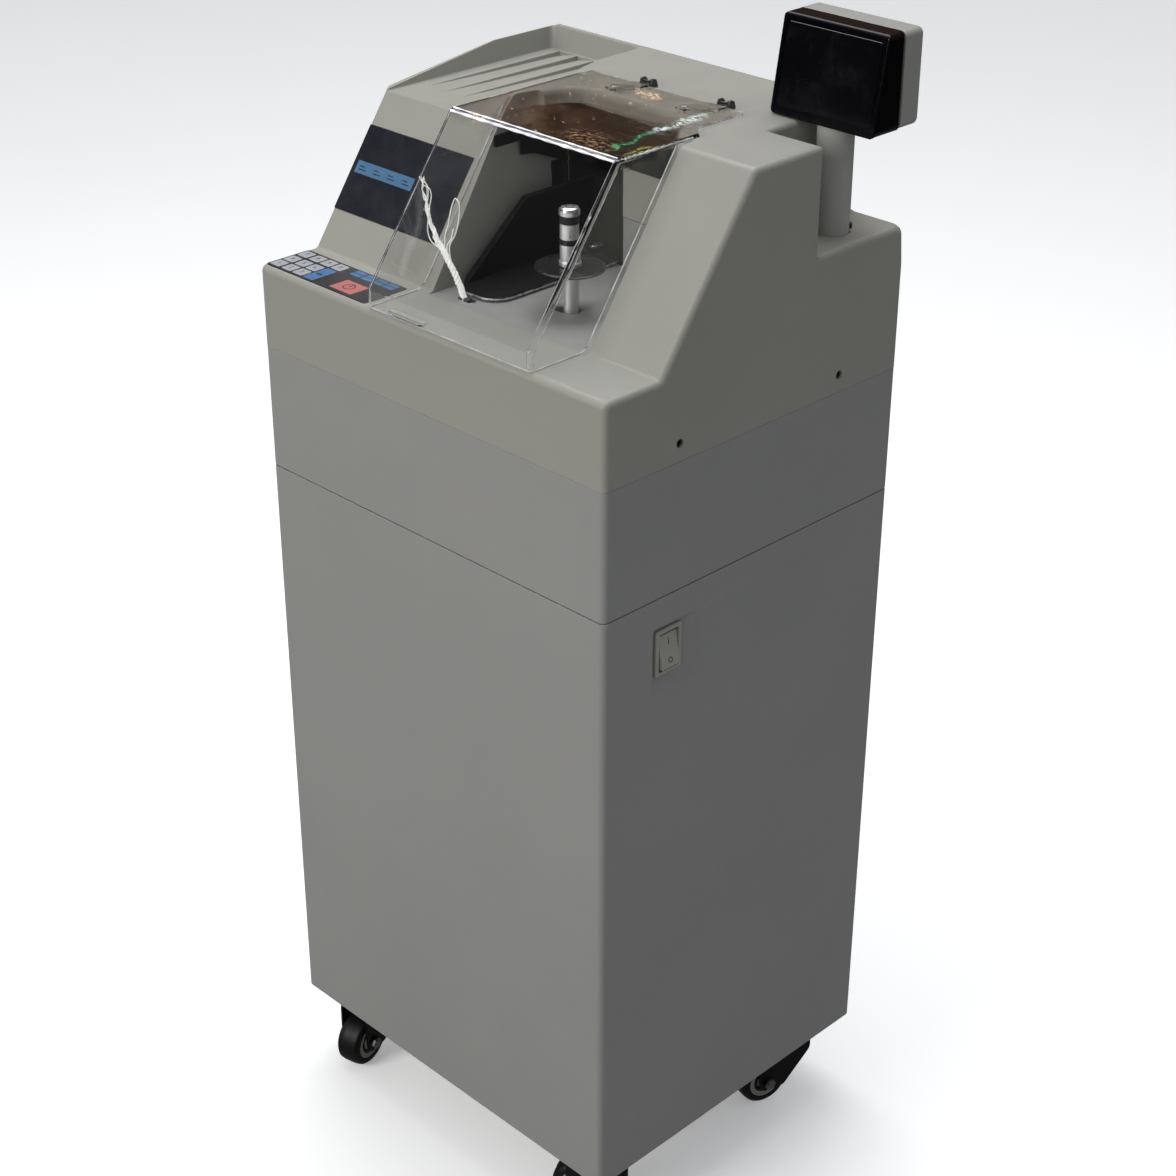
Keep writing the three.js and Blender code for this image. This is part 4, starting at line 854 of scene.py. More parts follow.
# ================================================================ rear door
# Louvre sections: y off the rear face, further swell at mid length, z
LOUVRE_HOOD = [(-0.6, 0, -0.5), (0.1, 2.6, 0.2), (0.1, 3.0, 1.4), (0.1, 2.4, 4.2),
               (0.1, 1.0, 7.6), (-0.6, 0, 9.5)]
LOUVRE_HOLLOW = [(-4, 0, -2), (-0.2, 1.9, -2), (-0.2, 2.0, 1.2), (-0.6, 1.4, 4.0),
                 (-1.0, 0, 6.6), (-4, 0, 6.8)]


def louvre(section, half_length, fade_end, z):
    """The section drawn along x, its swell fading out over the last 9 mm."""
    levels = []
    for i in range(13):
        x = -half_length + 2 * half_length * i / 12
        fade = min(1.0, max(0.0, (fade_end - abs(x)) / 9.0)) ** 0.5
        levels.append((x, [(REAR + y + swell * fade, z + dz) for y, swell, dz in section]))
    return stack("x", levels)


DOOR_LOW, DOOR_HIGH, DOOR_HALF = BASE + 21, BAND - 23, 204


def door_outline(depth, radius=0):
    return rect(DOOR_LOW + depth, DOOR_HIGH - depth, -DOOR_HALF + depth, DOOR_HALF - depth,
                radius)


def door_flange(depth):
    """The door's folded flange stands further in at its sides than at top and bottom."""
    return rect(DOOR_LOW + depth, DOOR_HIGH - depth, -DOOR_HALF + depth + 4,
                DOOR_HALF - depth - 4)


door = add(prism("y", door_outline(0, 3), REAR - 2.5, REAR, 0, 0.8, 5, 3),
           prism("y", door_flange(8), REAR - 14, REAR - 1))
door = cut(door, prism("y", door_flange(10), REAR - 20, REAR - 2.5))
for i in range(6):
    louvre_z = 560 + 14 * i
    door = add(door, louvre(LOUVRE_HOOD, 60, 60, louvre_z))
    door = cut(door, louvre(LOUVRE_HOLLOW, 57, 57.5, louvre_z))
door = cut(door, rod("y", LOCK, 9.4, REAR - 20, REAR + 5))
finish(door, "rear_door_panel", "cabinet_paint", "rear_door", body="door")

LOCK_BARREL = [(0, -12), (9, -12), (9, 0.3), (11.5, 0.3, 0.2), (11.5, 3, 0.9), (8.5, 3.2, 0.3),
               (7.8, 2.4, 0.2), (0, 2.4)]
lock = add(turned(LOCK_BARREL, 4, "y", LOCK, 48, base=REAR),
           prism("y", rect(LOCK_Z - 6, LOCK_Z + 6, LOCK_X - 14, LOCK_X + 6, 3),
                 REAR - 14, REAR - 11.5, 0.4, 0.4, 4, 2))
lock = cut(lock, box(169.1, 170.9, REAR + 1.4, REAR + 6, 424.5, 435.5),
           rod("y", LOCK, 2.2, REAR + 1.4, REAR + 6, 20))
finish(lock, "door_lock_barrel", "chrome", "door_lock", body="lock", slot="steel")

# ================================================================ mid band
finish(cut(prism("z", plan(0, 6.5), BAND, SEAM - 0.3, 0.9, 0.5, 8, 4),
           prism("z", plan(SHEET, 4), BAND + 2.5, SEAM + 1, steps=4),
           box(-205, 205, -172, 172, BAND - 5, BAND + 5)),
       "mid_band_shell", "cabinet_paint", "mid_band")

# ================================================================ upper cover
COVER_LOW = SEAM - 30  # the cover is made too deep, then cut off at the seam
COVER_PROFILE = [(-REAR, COVER_LOW), (REAR, COVER_LOW), (REAR, TOP, 7), (SLOPE_Y1, TOP, 8),
                 (SLOPE_Y0, LEDGE, 4.5), (-REAR, LEDGE, 7)]


def cover_block():
    return prism("x", COVER_PROFILE, -SIDE, SIDE, 6, 6, 8, 6)


def tray_level(z, widen, flare=0.0):
    """The tray's outline at a height; flare grows it evenly."""
    outline = [(-219 - widen, -70, 0), (-79 + widen, -70, 0), (-79 + widen, 10, 40),
               (-86 + widen, 64, 60), (-102 + widen, 119, 60), (-104 + widen, 180 + widen, 12),
               (-219 - widen, 180 + widen, 5)]
    return z, inset(outline, -flare)


def tray_cutter():
    levels = [(TRAY + 1.5 * (1 - cosine), -(1.5 * (1 - sine))) for sine, cosine in quarter(4)]
    levels.append((TOP - 3, 0.0))
    levels += [(TOP - 3 + 3 * sine, 3 * (1 - cosine)) for sine, cosine in quarter(5, 1)]
    levels.append((TOP + 20, 3.2))
    return stack("z", [tray_level(z, 8 * (z - TRAY) / 24.0 * 0.6, flare) for z, flare in levels])


def cover_hollow():
    """The inside of the cover, one wall thickness within its profile."""
    upright = WALL / math.cos(math.atan2(SLOPE_RISE, SLOPE_RUN))
    shift = (upright - WALL) * (SLOPE_RUN / SLOPE_RISE)
    return prism("x", [(-REAR + WALL, COVER_LOW - 5), (REAR - WALL, COVER_LOW - 5),
                       (REAR - WALL, TOP - WALL), (SLOPE_Y1 + shift, TOP - WALL),
                       (SLOPE_Y0 + shift, LEDGE - WALL), (-REAR + WALL, LEDGE - WALL)],
                 -SIDE + WALL, SIDE - WALL)


NOTCH_X, NOTCH_Y = 163, 70  # inner walls of the pole's notch


def notch_cutter():
    levels = [(NOTCH + 2.5 * (1 - cosine), 2.5 * (1 - sine)) for sine, cosine in quarter(4)]
    levels += [(TOP - 5 + 5 * sine, -5 * (1 - cosine)) for sine, cosine in quarter(6)]
    levels.append((TOP + 20, -5))
    return stack("z", [(z, [(NOTCH_X + d, NOTCH_Y + d, 4 - d * 0.5), (SIDE + 30, NOTCH_Y + d),
                            (SIDE + 30, REAR + 30), (NOTCH_X + d, REAR + 30)])
                       for z, d in levels], 6)


def notch_corner_cutter():
    """Rounds the rear right corner of the notch floor in all three directions."""
    levels = [(NOTCH - 44, 5.0, 0), (NOTCH - 9, 10.5, 0)]  # z, corner radius, setback
    levels += [(NOTCH - 9 + 9 * sine, 10.5 - 0.5 * 9 * (1 - cosine), 9 * (1 - cosine))
               for sine, cosine in quarter(6, 1)]
    levels.append((NOTCH + 3, 6.0, 9))
    rings = []
    for z, radius, setback in levels:
        cx, cy = SIDE - setback - radius, REAR - setback - radius
        arc = [(cx + radius * cosine, cy + radius * sine, z) for sine, cosine in quarter(8)]
        rings.append([(SIDE + 3, cy, z)] + arc + [(cx, REAR + 3, z), (SIDE + 3, REAR + 3, z)])
    return loft(rings)


cover = cut(cover_block(), cover_hollow())
cover = add(cover, overlap(cover_block(), box(160, SIDE, 67, REAR, NOTCH - WALL, TOP)))
cover = cut(cover, notch_cutter(),
            edge_cutter("z", SIDE, NOTCH_Y, 5, NOTCH + 0.4, TOP + 5),
            edge_cutter("y", NOTCH, SIDE, 6, NOTCH_Y + 0.2, REAR + 5),
            edge_cutter("x", REAR, NOTCH, 9, NOTCH_X + 0.2, SIDE + 5),
            box(163.3, 168, REAR - 9, REAR + 5, NOTCH + 0.8, NOTCH + 4),
            edge_cutter("z", NOTCH_X, REAR, 5, NOTCH - 2.2, TOP + 5),
            notch_corner_cutter(),
            rod("z", POLE, POLE_R + 0.6, NOTCH - 10, NOTCH + 5, 48))

# tray, with its left rim and rear rim cut lower
cover = add(cover, overlap(cover_block(), stack("z", [tray_level(TRAY - 7, 3),
                                                      tray_level(TOP, 10)])))
LEFT_RIM = [(-60, TRAY + 1), (-33.5, TRAY + 2), (107, TOP - 3.5, 30), (REAR + 10, TOP - 3.5),
            (REAR + 10, TOP + 30), (-60, TOP + 30)]
cover = cut(cover, tray_cutter(), prism("x", LEFT_RIM, -SIDE - 5, -218),
            box(-SIDE - 5, -215, 176, REAR + 5, TOP - 1.5, TOP + 20))

# four long steps in the tray floor, each with a steep left side and a floor that rises to
# the right: left x, right x at the rear end, y of the rear end
TRAY_STEPS = ((-206, -186, 178), (-181, -161, 178), (-157, -140, 176), (-138, -124, 130))
for left, right, rear_y in TRAY_STEPS:
    levels = []
    for i in range(15):
        t = i / 14
        depth, width = 0.03 + 4.2 * t ** 0.75, (right - left) * (0.30 + 0.70 * t)
        levels.append((rear_y * t, [
            (TRAY + 3, left - 0.3), (TRAY, left, 0.9 * t + 0.01),
            (TRAY - depth, left + 0.5, 0.5 * t + 0.005), (TRAY - 0.005, left + width, 0),
            (TRAY + 3, left + width)]))
    cover = cut(cover, stack("y", levels, 3))

# note well: its walls, then the cavity and the rounded mouth
WELL_WALLS = [(LEDGE - WALL, WELL_LEFT - WALL - 1), (TOP, WELL_LEFT_TOP - WALL - 1),
              (TOP, WELL_RIGHT + WALL), (LEDGE - WALL, WELL_RIGHT + WALL)]
CAVITY = [(LEDGE - 0.01, WELL_LEFT), (TRAY + 2, WELL_LEFT_TOP, 2), (TOP - 14, WELL_LEFT_TOP),
          (TOP - 14, WELL_RIGHT), (LEDGE - 0.01, WELL_RIGHT)]
MOUTH = [(-58, -REAR - 20, 0), (WELL_RIGHT, -REAR - 20, 0), (WELL_RIGHT, -22, 3),
         (108, 14, 26), (92, 44, 30), (-52, 44, 34)]
MOUTH_LEFT = [(WELL_LEFT_TOP, -REAR - 20), (-40, -REAR - 20), (-40, 10), (-58, 10, 6),
              (WELL_LEFT_TOP, -26)]
walls = overlap(cover_block(), prism("y", WELL_WALLS, SLOPE_Y0 - 8, WELL_REAR + WALL))
cover = add(cover, cut(walls, tray_cutter()))
mouth_levels = [(TOP - 16, 0), (TOP - 7, 0)]
mouth_levels += [(TOP - 7 + 7 * sine, 7 * (1 - cosine)) for sine, cosine in quarter(6, 1)]
mouth_levels.append((TOP + 20, 7))
cover = cut(cover, prism("y", CAVITY, -REAR - 20, WELL_REAR, steps=4),
            stack("z", [(z, inset(MOUTH, -flare)) for z, flare in mouth_levels], 10),
            prism("z", MOUTH_LEFT, TRAY - 2, TOP + 20, steps=6),
            box(WELL_LEFT, WELL_RIGHT, DECK_FRONT, WELL_REAR, LEDGE - 10, LEDGE + 1),
            box(WELL_LEFT, 12, WELL_REAR - 1, WELL_REAR + 10, LEDGE - 8, LEDGE + 108),
            box(WELL_LEFT, WELL_RIGHT, WELL_REAR - 3, WELL_REAR + 10, LEDGE - 8, LEDGE + 47))

# beds for the keypad and the window, screw holes, and the cut along the seam
WINDOW_BED = [off_slope(959.6, -1.2), off_slope(1030, -1.2), off_slope(1030, 6),
              off_slope(959.6, 6)]
cover = cut(cover, prism("z", rect(-221.3, -79, -187, -136, 3), LEDGE - 0.8, LEDGE + 5, steps=6),
            prism("x", WINDOW_BED, -222.8, -78),
            *[rod("x", (y, SIDE_SCREW_Z), 4.2, SIDE - 6, SIDE + 6, 32) for _, y in SIDE_SCREWS],
            box(-SIDE - 10, SIDE + 10, -REAR - 10, REAR + 10, COVER_LOW - 20, SEAM))
finish(cover, "upper_cover_shell", "cover_plastic", "upper_cover")

# ================================================================ keypad
finish(prism("z", rect(-220.9, -79.4, -186.6, -136.4, 3), LEDGE - 0.5, LEDGE + 0.28,
             0, 0.12, 6, 2), "keypad_film_sheet", "keypad_film", "keypad_overlay")


def key(x0, x1, y0, y1, corner=2.0, height=0.35):
    """Embossed dome of a film key."""
    dome = ((0.0, 0.0), (0.5 * height, 0.12), (0.85 * height, 0.4), (height, 0.9))
    return stack("z", [(LEDGE + 0.26 + z, inset(rect(x0, x1, y0, y1, corner), depth))
                       for z, depth in dome], 5)


def digit(character, x, y):
    """Plain numeral as a thin inlay on the key."""
    curve = bpy.data.curves.new("numeral", "FONT")
    curve.body, curve.size, curve.extrude, curve.resolution_u = character, 7.2, 0.04, 3
    curve.align_x = curve.align_y = "CENTER"
    text = new_object(curve)
    graph = bpy.context.evaluated_depsgraph_get()
    mesh = bpy.data.meshes.new_from_object(text.evaluated_get(graph))
    bpy.data.objects.remove(text)
    mesh.transform(Matrix.Translation((x, y, LEDGE + 0.26 + 0.37)))
    return new_object(mesh)


COLUMNS, ROWS = [-212.3, -195.6, -179.6, -163.6], [-145.4, -162.0, -177.4]  # key middles
MARK_LOW, MARK_HIGH = LEDGE + 0.58, LEDGE + 0.66
places = [(x, y) for x in COLUMNS[:3] for y in ROWS] + [(COLUMNS[3], ROWS[0])]
finish(join([key(x - 6.9, x + 6.9, y - 6.6, y + 6.6) for x, y in places]),
       "keypad_keys_white", "key_white")
blue_keys = [key(-170.6, -156.8, -184.2, -154.4)]
blue_keys += [key(-145.5 + i * 15.2, -132.6 + i * 15.2, -149.6 + j * 6.4, -144.4 + j * 6.4,
                  1.0, 0.25) for i in range(4) for j in range(2)]
finish(join(blue_keys), "keypad_keys_blue", "key_blue")
finish(key(-134.6, -104.6, -182.5, -160.2, 1.6), "keypad_key_red", "key_red")

ARROW = [(-4, -1), (0, -1), (0, -3.4), (4.4, 0), (0, 3.4), (0, 1), (-4, 1)]
marks = [digit(character, COLUMNS[i % 3], ROWS[i // 3])
         for i, character in enumerate("789456123")]
marks.append(digit("0", COLUMNS[3], ROWS[0]))
marks.append(prism("z", [(-163.7 + u, -170 + v) for u, v in ARROW], MARK_LOW, MARK_HIGH))
finish(join(marks), "keypad_marks", "key_ink", sharp=20)
ring_mark = lathe([(5.0, MARK_LOW), (6.2, MARK_LOW), (6.2, MARK_HIGH), (5.0, MARK_HIGH)],
                  "z", (-119.6, -171.3), 40, ring=True)
stroke = prism("z", rect(-120.2, -119.0, -171.3, -164.0), MARK_LOW, MARK_HIGH)
finish(join([ring_mark, stroke]), "keypad_mark_ring", "key_ink", sharp=20)

# ================================================================ window on the slope
SLOPE_PLANE = (SLOPE_Y0, LEDGE, SLOPE_UY, SLOPE_UZ)
window_low, window_high, strip_low, strip_high = [(z - LEDGE) / SLOPE_UZ
                                                  for z in (960.0, 1029.7, 991.0, 1001.0)]
finish(inclined_plate(SLOPE_PLANE, -222.4, -78.4, window_low, window_high, 1.0, -0.9, 0.2),
       "display_window_film", "display_film", "display_window")
finish(inclined_plate(SLOPE_PLANE, -217, -137, strip_low, strip_high, 0.4, 0.15, 0.26, 0.04),
       "display_window_strip", "strip_blue")
dashes = []
for i in range(4):
    x = -207.5 + i * 20.2
    for right, low in ((x + 5.0, strip_low + 3.4), (x + 2.0, strip_low + 6.6)):
        dashes.append(inclined_plate(SLOPE_PLANE, x - 5.0, right, low, low + 1.1,
                                     0.2, 0.2, 0.31, 0.03))
finish(join(dashes), "display_window_marks", "key_ink", slot="display_film")

# ================================================================ deck and well linings
spindle_x, spindle_y = SPINDLE
DECK_UNDER = DECK_TOP - DECK_T
fold_y = WELL_REAR + 0.3
deck = prism("x", [(DECK_FRONT + 0.4, DECK_UNDER), (WELL_REAR + DECK_T + 0.3, DECK_UNDER, 3.2),
                   (WELL_REAR + DECK_T + 0.3, DECK_TOP + 47), (fold_y, DECK_TOP + 47),
                   (fold_y, DECK_TOP, 1.4), (DECK_FRONT + 0.4, DECK_TOP)],
             WELL_LEFT + 0.4, WELL_RIGHT - 0.4, steps=6)
deck = cut(deck, box(WELL_LEFT - 5, 12.4, WELL_REAR - 0.3, WELL_REAR + 10,
                     DECK_TOP - 10, DECK_TOP + 80),
           rod("z", SPINDLE, 9.6, DECK_TOP - 5, DECK_TOP + 5, 48),
           prism("z", rect(spindle_x - 15, spindle_x, spindle_y - 10.5, spindle_y + 3, 3),
                 DECK_TOP - 5, DECK_TOP + 5),
           prism("z", rect(-33, -13, -119, -109, 4.9), DECK_TOP - 5, DECK_TOP + 5))
finish(deck, "deck_sheet", "deck_steel", "deck_plate",
       bevel=(0.3, 2, lambda a, b: min(a.z, b.z) > DECK_TOP - 0.1 and max(a.y, b.y) < 40))

HOLDER, HOLDER_REAR = (-28.0, 50.0), 69.0  # the holder's pivot and rear end
liner = prism("z", [(WELL_LEFT + 0.5, WELL_REAR + 0.4), (11.5, WELL_REAR + 0.4), (11.5, 128, 3),
                    (WELL_LEFT + 0.5, 128, 3)], LEDGE - 2.8, LEDGE + 107.4, steps=5)
liner = cut(liner, prism("z", [(WELL_LEFT + 2.5, WELL_REAR - 5), (9.5, WELL_REAR - 5),
                               (9.5, 126, 4), (WELL_LEFT + 2.5, 126, 4)],
                         LEDGE - 0.8, LEDGE + 105.4, 1, 1),
            rod("z", HOLDER, 4.4, 900, 940, 32))
for i in range(4):  # ribs pressed into the rear wall
    x = -42 + i * 13
    liner = add(liner, prism("z", rect(x - 1.2, x + 1.2, 124, 126.5, 0.6),
                             LEDGE + 2, LEDGE + 100, 0.3, 0.3, 3, 2))
finish(liner, "well_recess_liner", "well_black", "well_recess")


def well_left(z):
    """x of the well's leaning left wall."""
    return WELL_LEFT + (z - LEDGE) * (WELL_LEFT_TOP - WELL_LEFT) / (TRAY + 2 - LEDGE)


# stepped black lining under the rim of the mouth: (y, z) of its left part, (z, x) of its rear
LINING_LEFT = [(-44, 1052, 1), (-44, 1041, 1.5), (-12, 1041, 1.5), (-12, 1027.5, 1.5),
               (4, 1025.5, 8), (30, 1015.5, 12), (44.2, 1010), (44.2, 1062), (12, 1062, 2),
               (4, 1053, 3)]
LINING_REAR = [(1034.9, -61.6), (1066, -61.6), (1066, 80, 1), (1045, 73, 6), (1032, 68, 6),
               (1021, 60, 3), (1021.5, 13.2, 1), (1034.9, 13.2, 1)]
lining = add(prism("x", LINING_LEFT, -61.6, -59.6, 0.2, 0.4, 5, 2),
             prism("y", LINING_REAR, 42.2, 44.2, 0.3, 0.2, 5, 2))
# the strip and corner that close the gap beside the doorway
gap_strip = stack("z", [(z, [(well_left(z) + 0.15, 28), (well_left(z) + 1.2, 29),
                             (well_left(z) + 1.2, 44.6), (well_left(z) + 0.15, 44.6)])
                        for z in (928, 970, 1012)])
gap_corner = stack("z", [(z, [(well_left(z) + 0.15, 43.4), (-56.9, 43.4), (-56.9, 44.6),
                              (well_left(z) + 0.15, 44.6)]) for z in (928, 970, 1034.5)])
finish(join([lining, add(gap_strip, gap_corner),
             rod("x", (-27, 1046.5), 2.2, -59.8, -58.7, 20, 0.4),
             rod("x", (20, 1047), 2.2, -59.8, -58.7, 20, 0.4)]),
       "well_lining_stepped", "well_black", "interlock_bracket")

# plates under the deck's two openings, and the pin in the left one; the black plate under the
# spindle's opening is painted shade that keeps that opening dark
finish(cut(prism("z", rect(spindle_x - 22, spindle_x + 16, spindle_y - 16, spindle_y + 14, 4),
                 DECK_UNDER - 1.6, DECK_UNDER - 0.4, 0.2, 0.2, 5, 2),
           rod("z", SPINDLE, 7.4, DECK_TOP - 10, DECK_TOP + 5, 48)),
       "deck_slot_painted_shade_plate", "well_black")
PIN = (-23, -114)
finish(cut(prism("z", rect(-37, -9, -123, -105, 5), DECK_UNDER - 3.2, DECK_UNDER - 0.4,
                 0.3, 0.5, 6, 2),
           rod("z", PIN, 3.6, DECK_TOP - 12, DECK_TOP + 5, 32)), "deck_slot_plug", "zinc")
CLAMP_PIN = [(0, 900), (3.2, 900), (3.2, 923.4), (3.9, 923.8, 0.2), (3.9, 926.2, 0.9),
             (2.4, 926.9, 0.5), (0, 926.9)]
finish(turned(CLAMP_PIN, 4, "z", PIN, 36), "clamp_pin_turned", "dark_metal", "clamp_pin",
       slot="steel")

# ================================================================ bundle holder
HOLDER_Z = LEDGE + 0.6
HOLDER_TOP = HOLDER_Z + 66.5
HOLDER_FLOOR = [(-50, -100, 10), (-36, -107.5, 10), (5.5, -106, 38), (5.5, HOLDER_REAR, 3),
                (-50, HOLDER_REAR, 3)]
HOLDER_SIDE = [(-95, HOLDER_Z), (HOLDER_REAR, HOLDER_Z), (HOLDER_REAR, HOLDER_TOP, 4),
               (-20, HOLDER_TOP, 8), (-92, HOLDER_Z + 7, 5)]
HOLDER_OPENING = [(-70, HOLDER_Z - 5), (HOLDER_REAR + 20, HOLDER_Z - 5),
                  (HOLDER_REAR + 20, HOLDER_Z + 60), (-17.5, HOLDER_Z + 60, 6),
                  (-80, HOLDER_Z + 9, 4)]
HOLDER_BACK = [(HOLDER_Z, -50), (HOLDER_TOP, -50), (HOLDER_TOP, -6, 10), (HOLDER_Z, -2)]
holder = add(prism("z", HOLDER_FLOOR, HOLDER_Z, HOLDER_Z + 2.5, 0.4, 0.6, 14, 3),
             prism("x", HOLDER_SIDE, -50, -47, 0.5, 0.5, 6, 3),
             cut(prism("x", HOLDER_SIDE, -50, -43.5, 0.5, 1.2, 6, 3),
                 prism("x", HOLDER_OPENING, -60, -40, steps=6)),
             prism("y", HOLDER_BACK, HOLDER_REAR - 3, HOLDER_REAR, 0.5, 0.5, 8, 3),
             rod("z", HOLDER, 10, HOLDER_Z, HOLDER_Z + 6, 40, 0.8))
finish(cut(holder, rod("z", HOLDER, 4.2, HOLDER_Z - 3, HOLDER_Z + 10, 32)),
       "bundle_holder_tray", "well_black", "bundle_holder", body="holder")
# bright strip along the floor's front and right edges
WIRE_OUTER = [(-36, -109.2), (7, -107.5, 39.4), (7, HOLDER_REAR - 2), (-36, HOLDER_REAR - 2)]
WIRE_INNER = [(-60, -109.1), (-36, -108), (5.9, -106.4, 38.4), (5.9, HOLDER_REAR + 20),
              (-60, HOLDER_REAR + 20)]
finish(cut(prism("z", WIRE_OUTER, HOLDER_Z + 0.4, HOLDER_Z + 2.1, 0.3, 0.3, 20, 2),
           prism("z", WIRE_INNER, HOLDER_Z - 3, HOLDER_Z + 5, steps=20)),
       "holder_edge_wire", "chrome", "holder_edge_strip", body="holder", slot="steel")
HOLDER_SHAFT = [(0, 868), (3.9, 868, 0.4), (3.9, HOLDER_Z + 6.3), (6.5, HOLDER_Z + 6.3, 0.3),
                (6.5, HOLDER_Z + 9, 0.8), (0, HOLDER_Z + 9)]
finish(turned(HOLDER_SHAFT, 4, "z", HOLDER, 36), "holder_shaft_turned", "steel",
       "holder_shaft", body="holder")

# ================================================================ spindle
COLUMN_R, DISC_R, DISC_Z = 8.4, 30.8, 967.0  # the paths below count heights from the disc
COLUMN = [(0, -109), (5.2, -109, 0.3), (5.2, -62), (6.7, -60, 0.4), (6.7, -8), (7.5, -6, 0.4),
          (7.5, -2.9), (5.2, -2.9), (5.2, 0.3), (COLUMN_R + 0.8, 0.3, 0.3),
          (COLUMN_R + 0.8, 4, 0.5), (COLUMN_R, 5, 0.3), (COLUMN_R, 19.7, 0.25),
          (COLUMN_R - 1.2, 19.7), (COLUMN_R - 1.2, 25), (COLUMN_R, 25, 0.25),
          (COLUMN_R, 38.7, 0.25), (COLUMN_R - 1.2, 38.7), (COLUMN_R - 1.2, 46), (0, 46)]
column = turned(COLUMN, 3, "z", SPINDLE, 72, base=DISC_Z)
for slot_z in (DISC_Z + 8.5, DISC_Z + 28.0):  # suction slots in the two bright zones
    for degrees in (200, 320, 80):
        cosine, sine = math.cos(math.radians(degrees)), math.sin(math.radians(degrees))
        outline = [(u * cosine - v * sine + spindle_x, u * sine + v * cosine + spindle_y, radius)
                   for u, v, radius in rect(COLUMN_R - 2.5, COLUMN_R + 2, -0.9, 0.9, 0.5)]
        column = cut(column, prism("z", outline, slot_z, slot_z + 8.0, steps=3))
finish(column, "spindle_column_turned", "aluminium", "spindle_column", body="spindle")

for name, low, high in (("lower", 20.0, 24.7), ("upper", 39.0, 45.7)):
    path = [(COLUMN_R - 0.9, DISC_Z + low), (COLUMN_R + 0.2, DISC_Z + low)]
    path += [(COLUMN_R + 0.3 - 0.12 * math.cos(2 * math.pi * i / 4),
              DISC_Z + low + (high - low) * (i + 0.5) / 13) for i in range(13)]
    path += [(COLUMN_R + 0.2, DISC_Z + high), (COLUMN_R - 0.9, DISC_Z + high)]
    finish(lathe(path, "z", SPINDLE, 72, ring=True), "spindle_band_%s_rubber" % name,
           "rubber_black", "spindle_band_" + name, body="spindle")
SPINDLE_CAP = [(0, 46.3), (COLUMN_R + 1, 46.3, 0.3), (COLUMN_R + 1.1, 50.5, 0.6),
               (COLUMN_R, 52.6, 1.2), (COLUMN_R - 2.5, 53.5, 1.2), (0, 54)]
finish(turned(SPINDLE_CAP, 5, "z", SPINDLE, 72, base=DISC_Z), "spindle_cap_polished",
       "chrome", "spindle_cap", body="spindle")
DISC = [(5.5, -2.6), (DISC_R - 2.5, -2.6, 0.3), (DISC_R, -1.6, 0.5), (DISC_R, -0.6, 0.4),
        (DISC_R - 1.5, 0, 0.3), (12, 0), (11, -0.5, 0.2), (5.5, -0.5)]
finish(turned(DISC, 3, "z", SPINDLE, 96, base=DISC_Z, ring=True), "spindle_disc_turned",
       "disc_black", "spindle_disc", body="spindle")


def pulley(at, bore, rim, wave, sides, tail):
    """Flanged pulley with a waved belt face; tail ends its path."""
    path = [(bore, 872), (rim, 872), (rim, 873.6), (rim - 2.1, 874.4)]
    path += [(rim - 2.5 + wave * math.sin(2 * math.pi * i / 4), 874.6 + 9 * i / 18)
             for i in range(19)]
    path += [(rim - 2.1, 884), (rim, 884.8), (rim, 886)] + tail
    return lathe(path, "z", at, sides, ring=True)


finish(pulley(SPINDLE, 5.5, 19, 0.35, 64, [(9.5, 886), (9.5, 888.5), (5.5, 888.5)]),
       "spindle_pulley_turned", "black_dull", "spindle_pulley", body="spindle")
finish(pulley((spindle_x, 40.0), 4.3, 12, 0.3, 56, [(4.3, 886)]),
       "motor_pulley_turned", "black_dull", "motor_pulley", body="motor_rotor")

# ================================================================ clear cover
LID_LOW, LID_INNER, LID_T = LEDGE + 0.7, 1083.3, 2.5  # foot, underside of the top, thickness
LID_TOP, LID_KNEE = LID_INNER + LID_T, LID_LOW + 17
LID_LEFT, LID_RIGHT = -72.0, 137.0
LID_FRONT, LID_BEND = -190.2, -88.0  # y of the front face and of the bend into the top
LID_R = 4.2  # rounding of the side edges
HINGE_Y, HINGE_Z = HINGE = (89.0, 1087.3)
LID_PROFILE = [(LID_FRONT, LID_LOW - 20), (LID_FRONT, LID_KNEE, 5), (LID_BEND, LID_TOP, 6),
               (HINGE_Y + 20, LID_TOP), (HINGE_Y + 20, LID_LOW - 20)]
LID_INSIDE = [(LID_FRONT + LID_T, LID_LOW - 30), (LID_FRONT + LID_T, LID_KNEE - 1.1, 3.0),
              (LID_BEND + LID_T * 0.55, LID_INNER, 3.6), (HINGE_Y + 40, LID_INNER),
              (HINGE_Y + 40, LID_LOW - 30)]
# what the slope of the upper cover takes off the sides
LID_SLOPE = [(SLOPE_Y0 - 5, LID_LOW - 30), (SLOPE_Y0 - 5, LID_LOW),
             (slope_y(LID_LOW + 4) - 1, LID_LOW + 4), (slope_y(LID_INNER) - 1, LID_INNER),
             (HINGE_Y + 30, LID_INNER), (HINGE_Y + 30, LID_LOW - 30)]
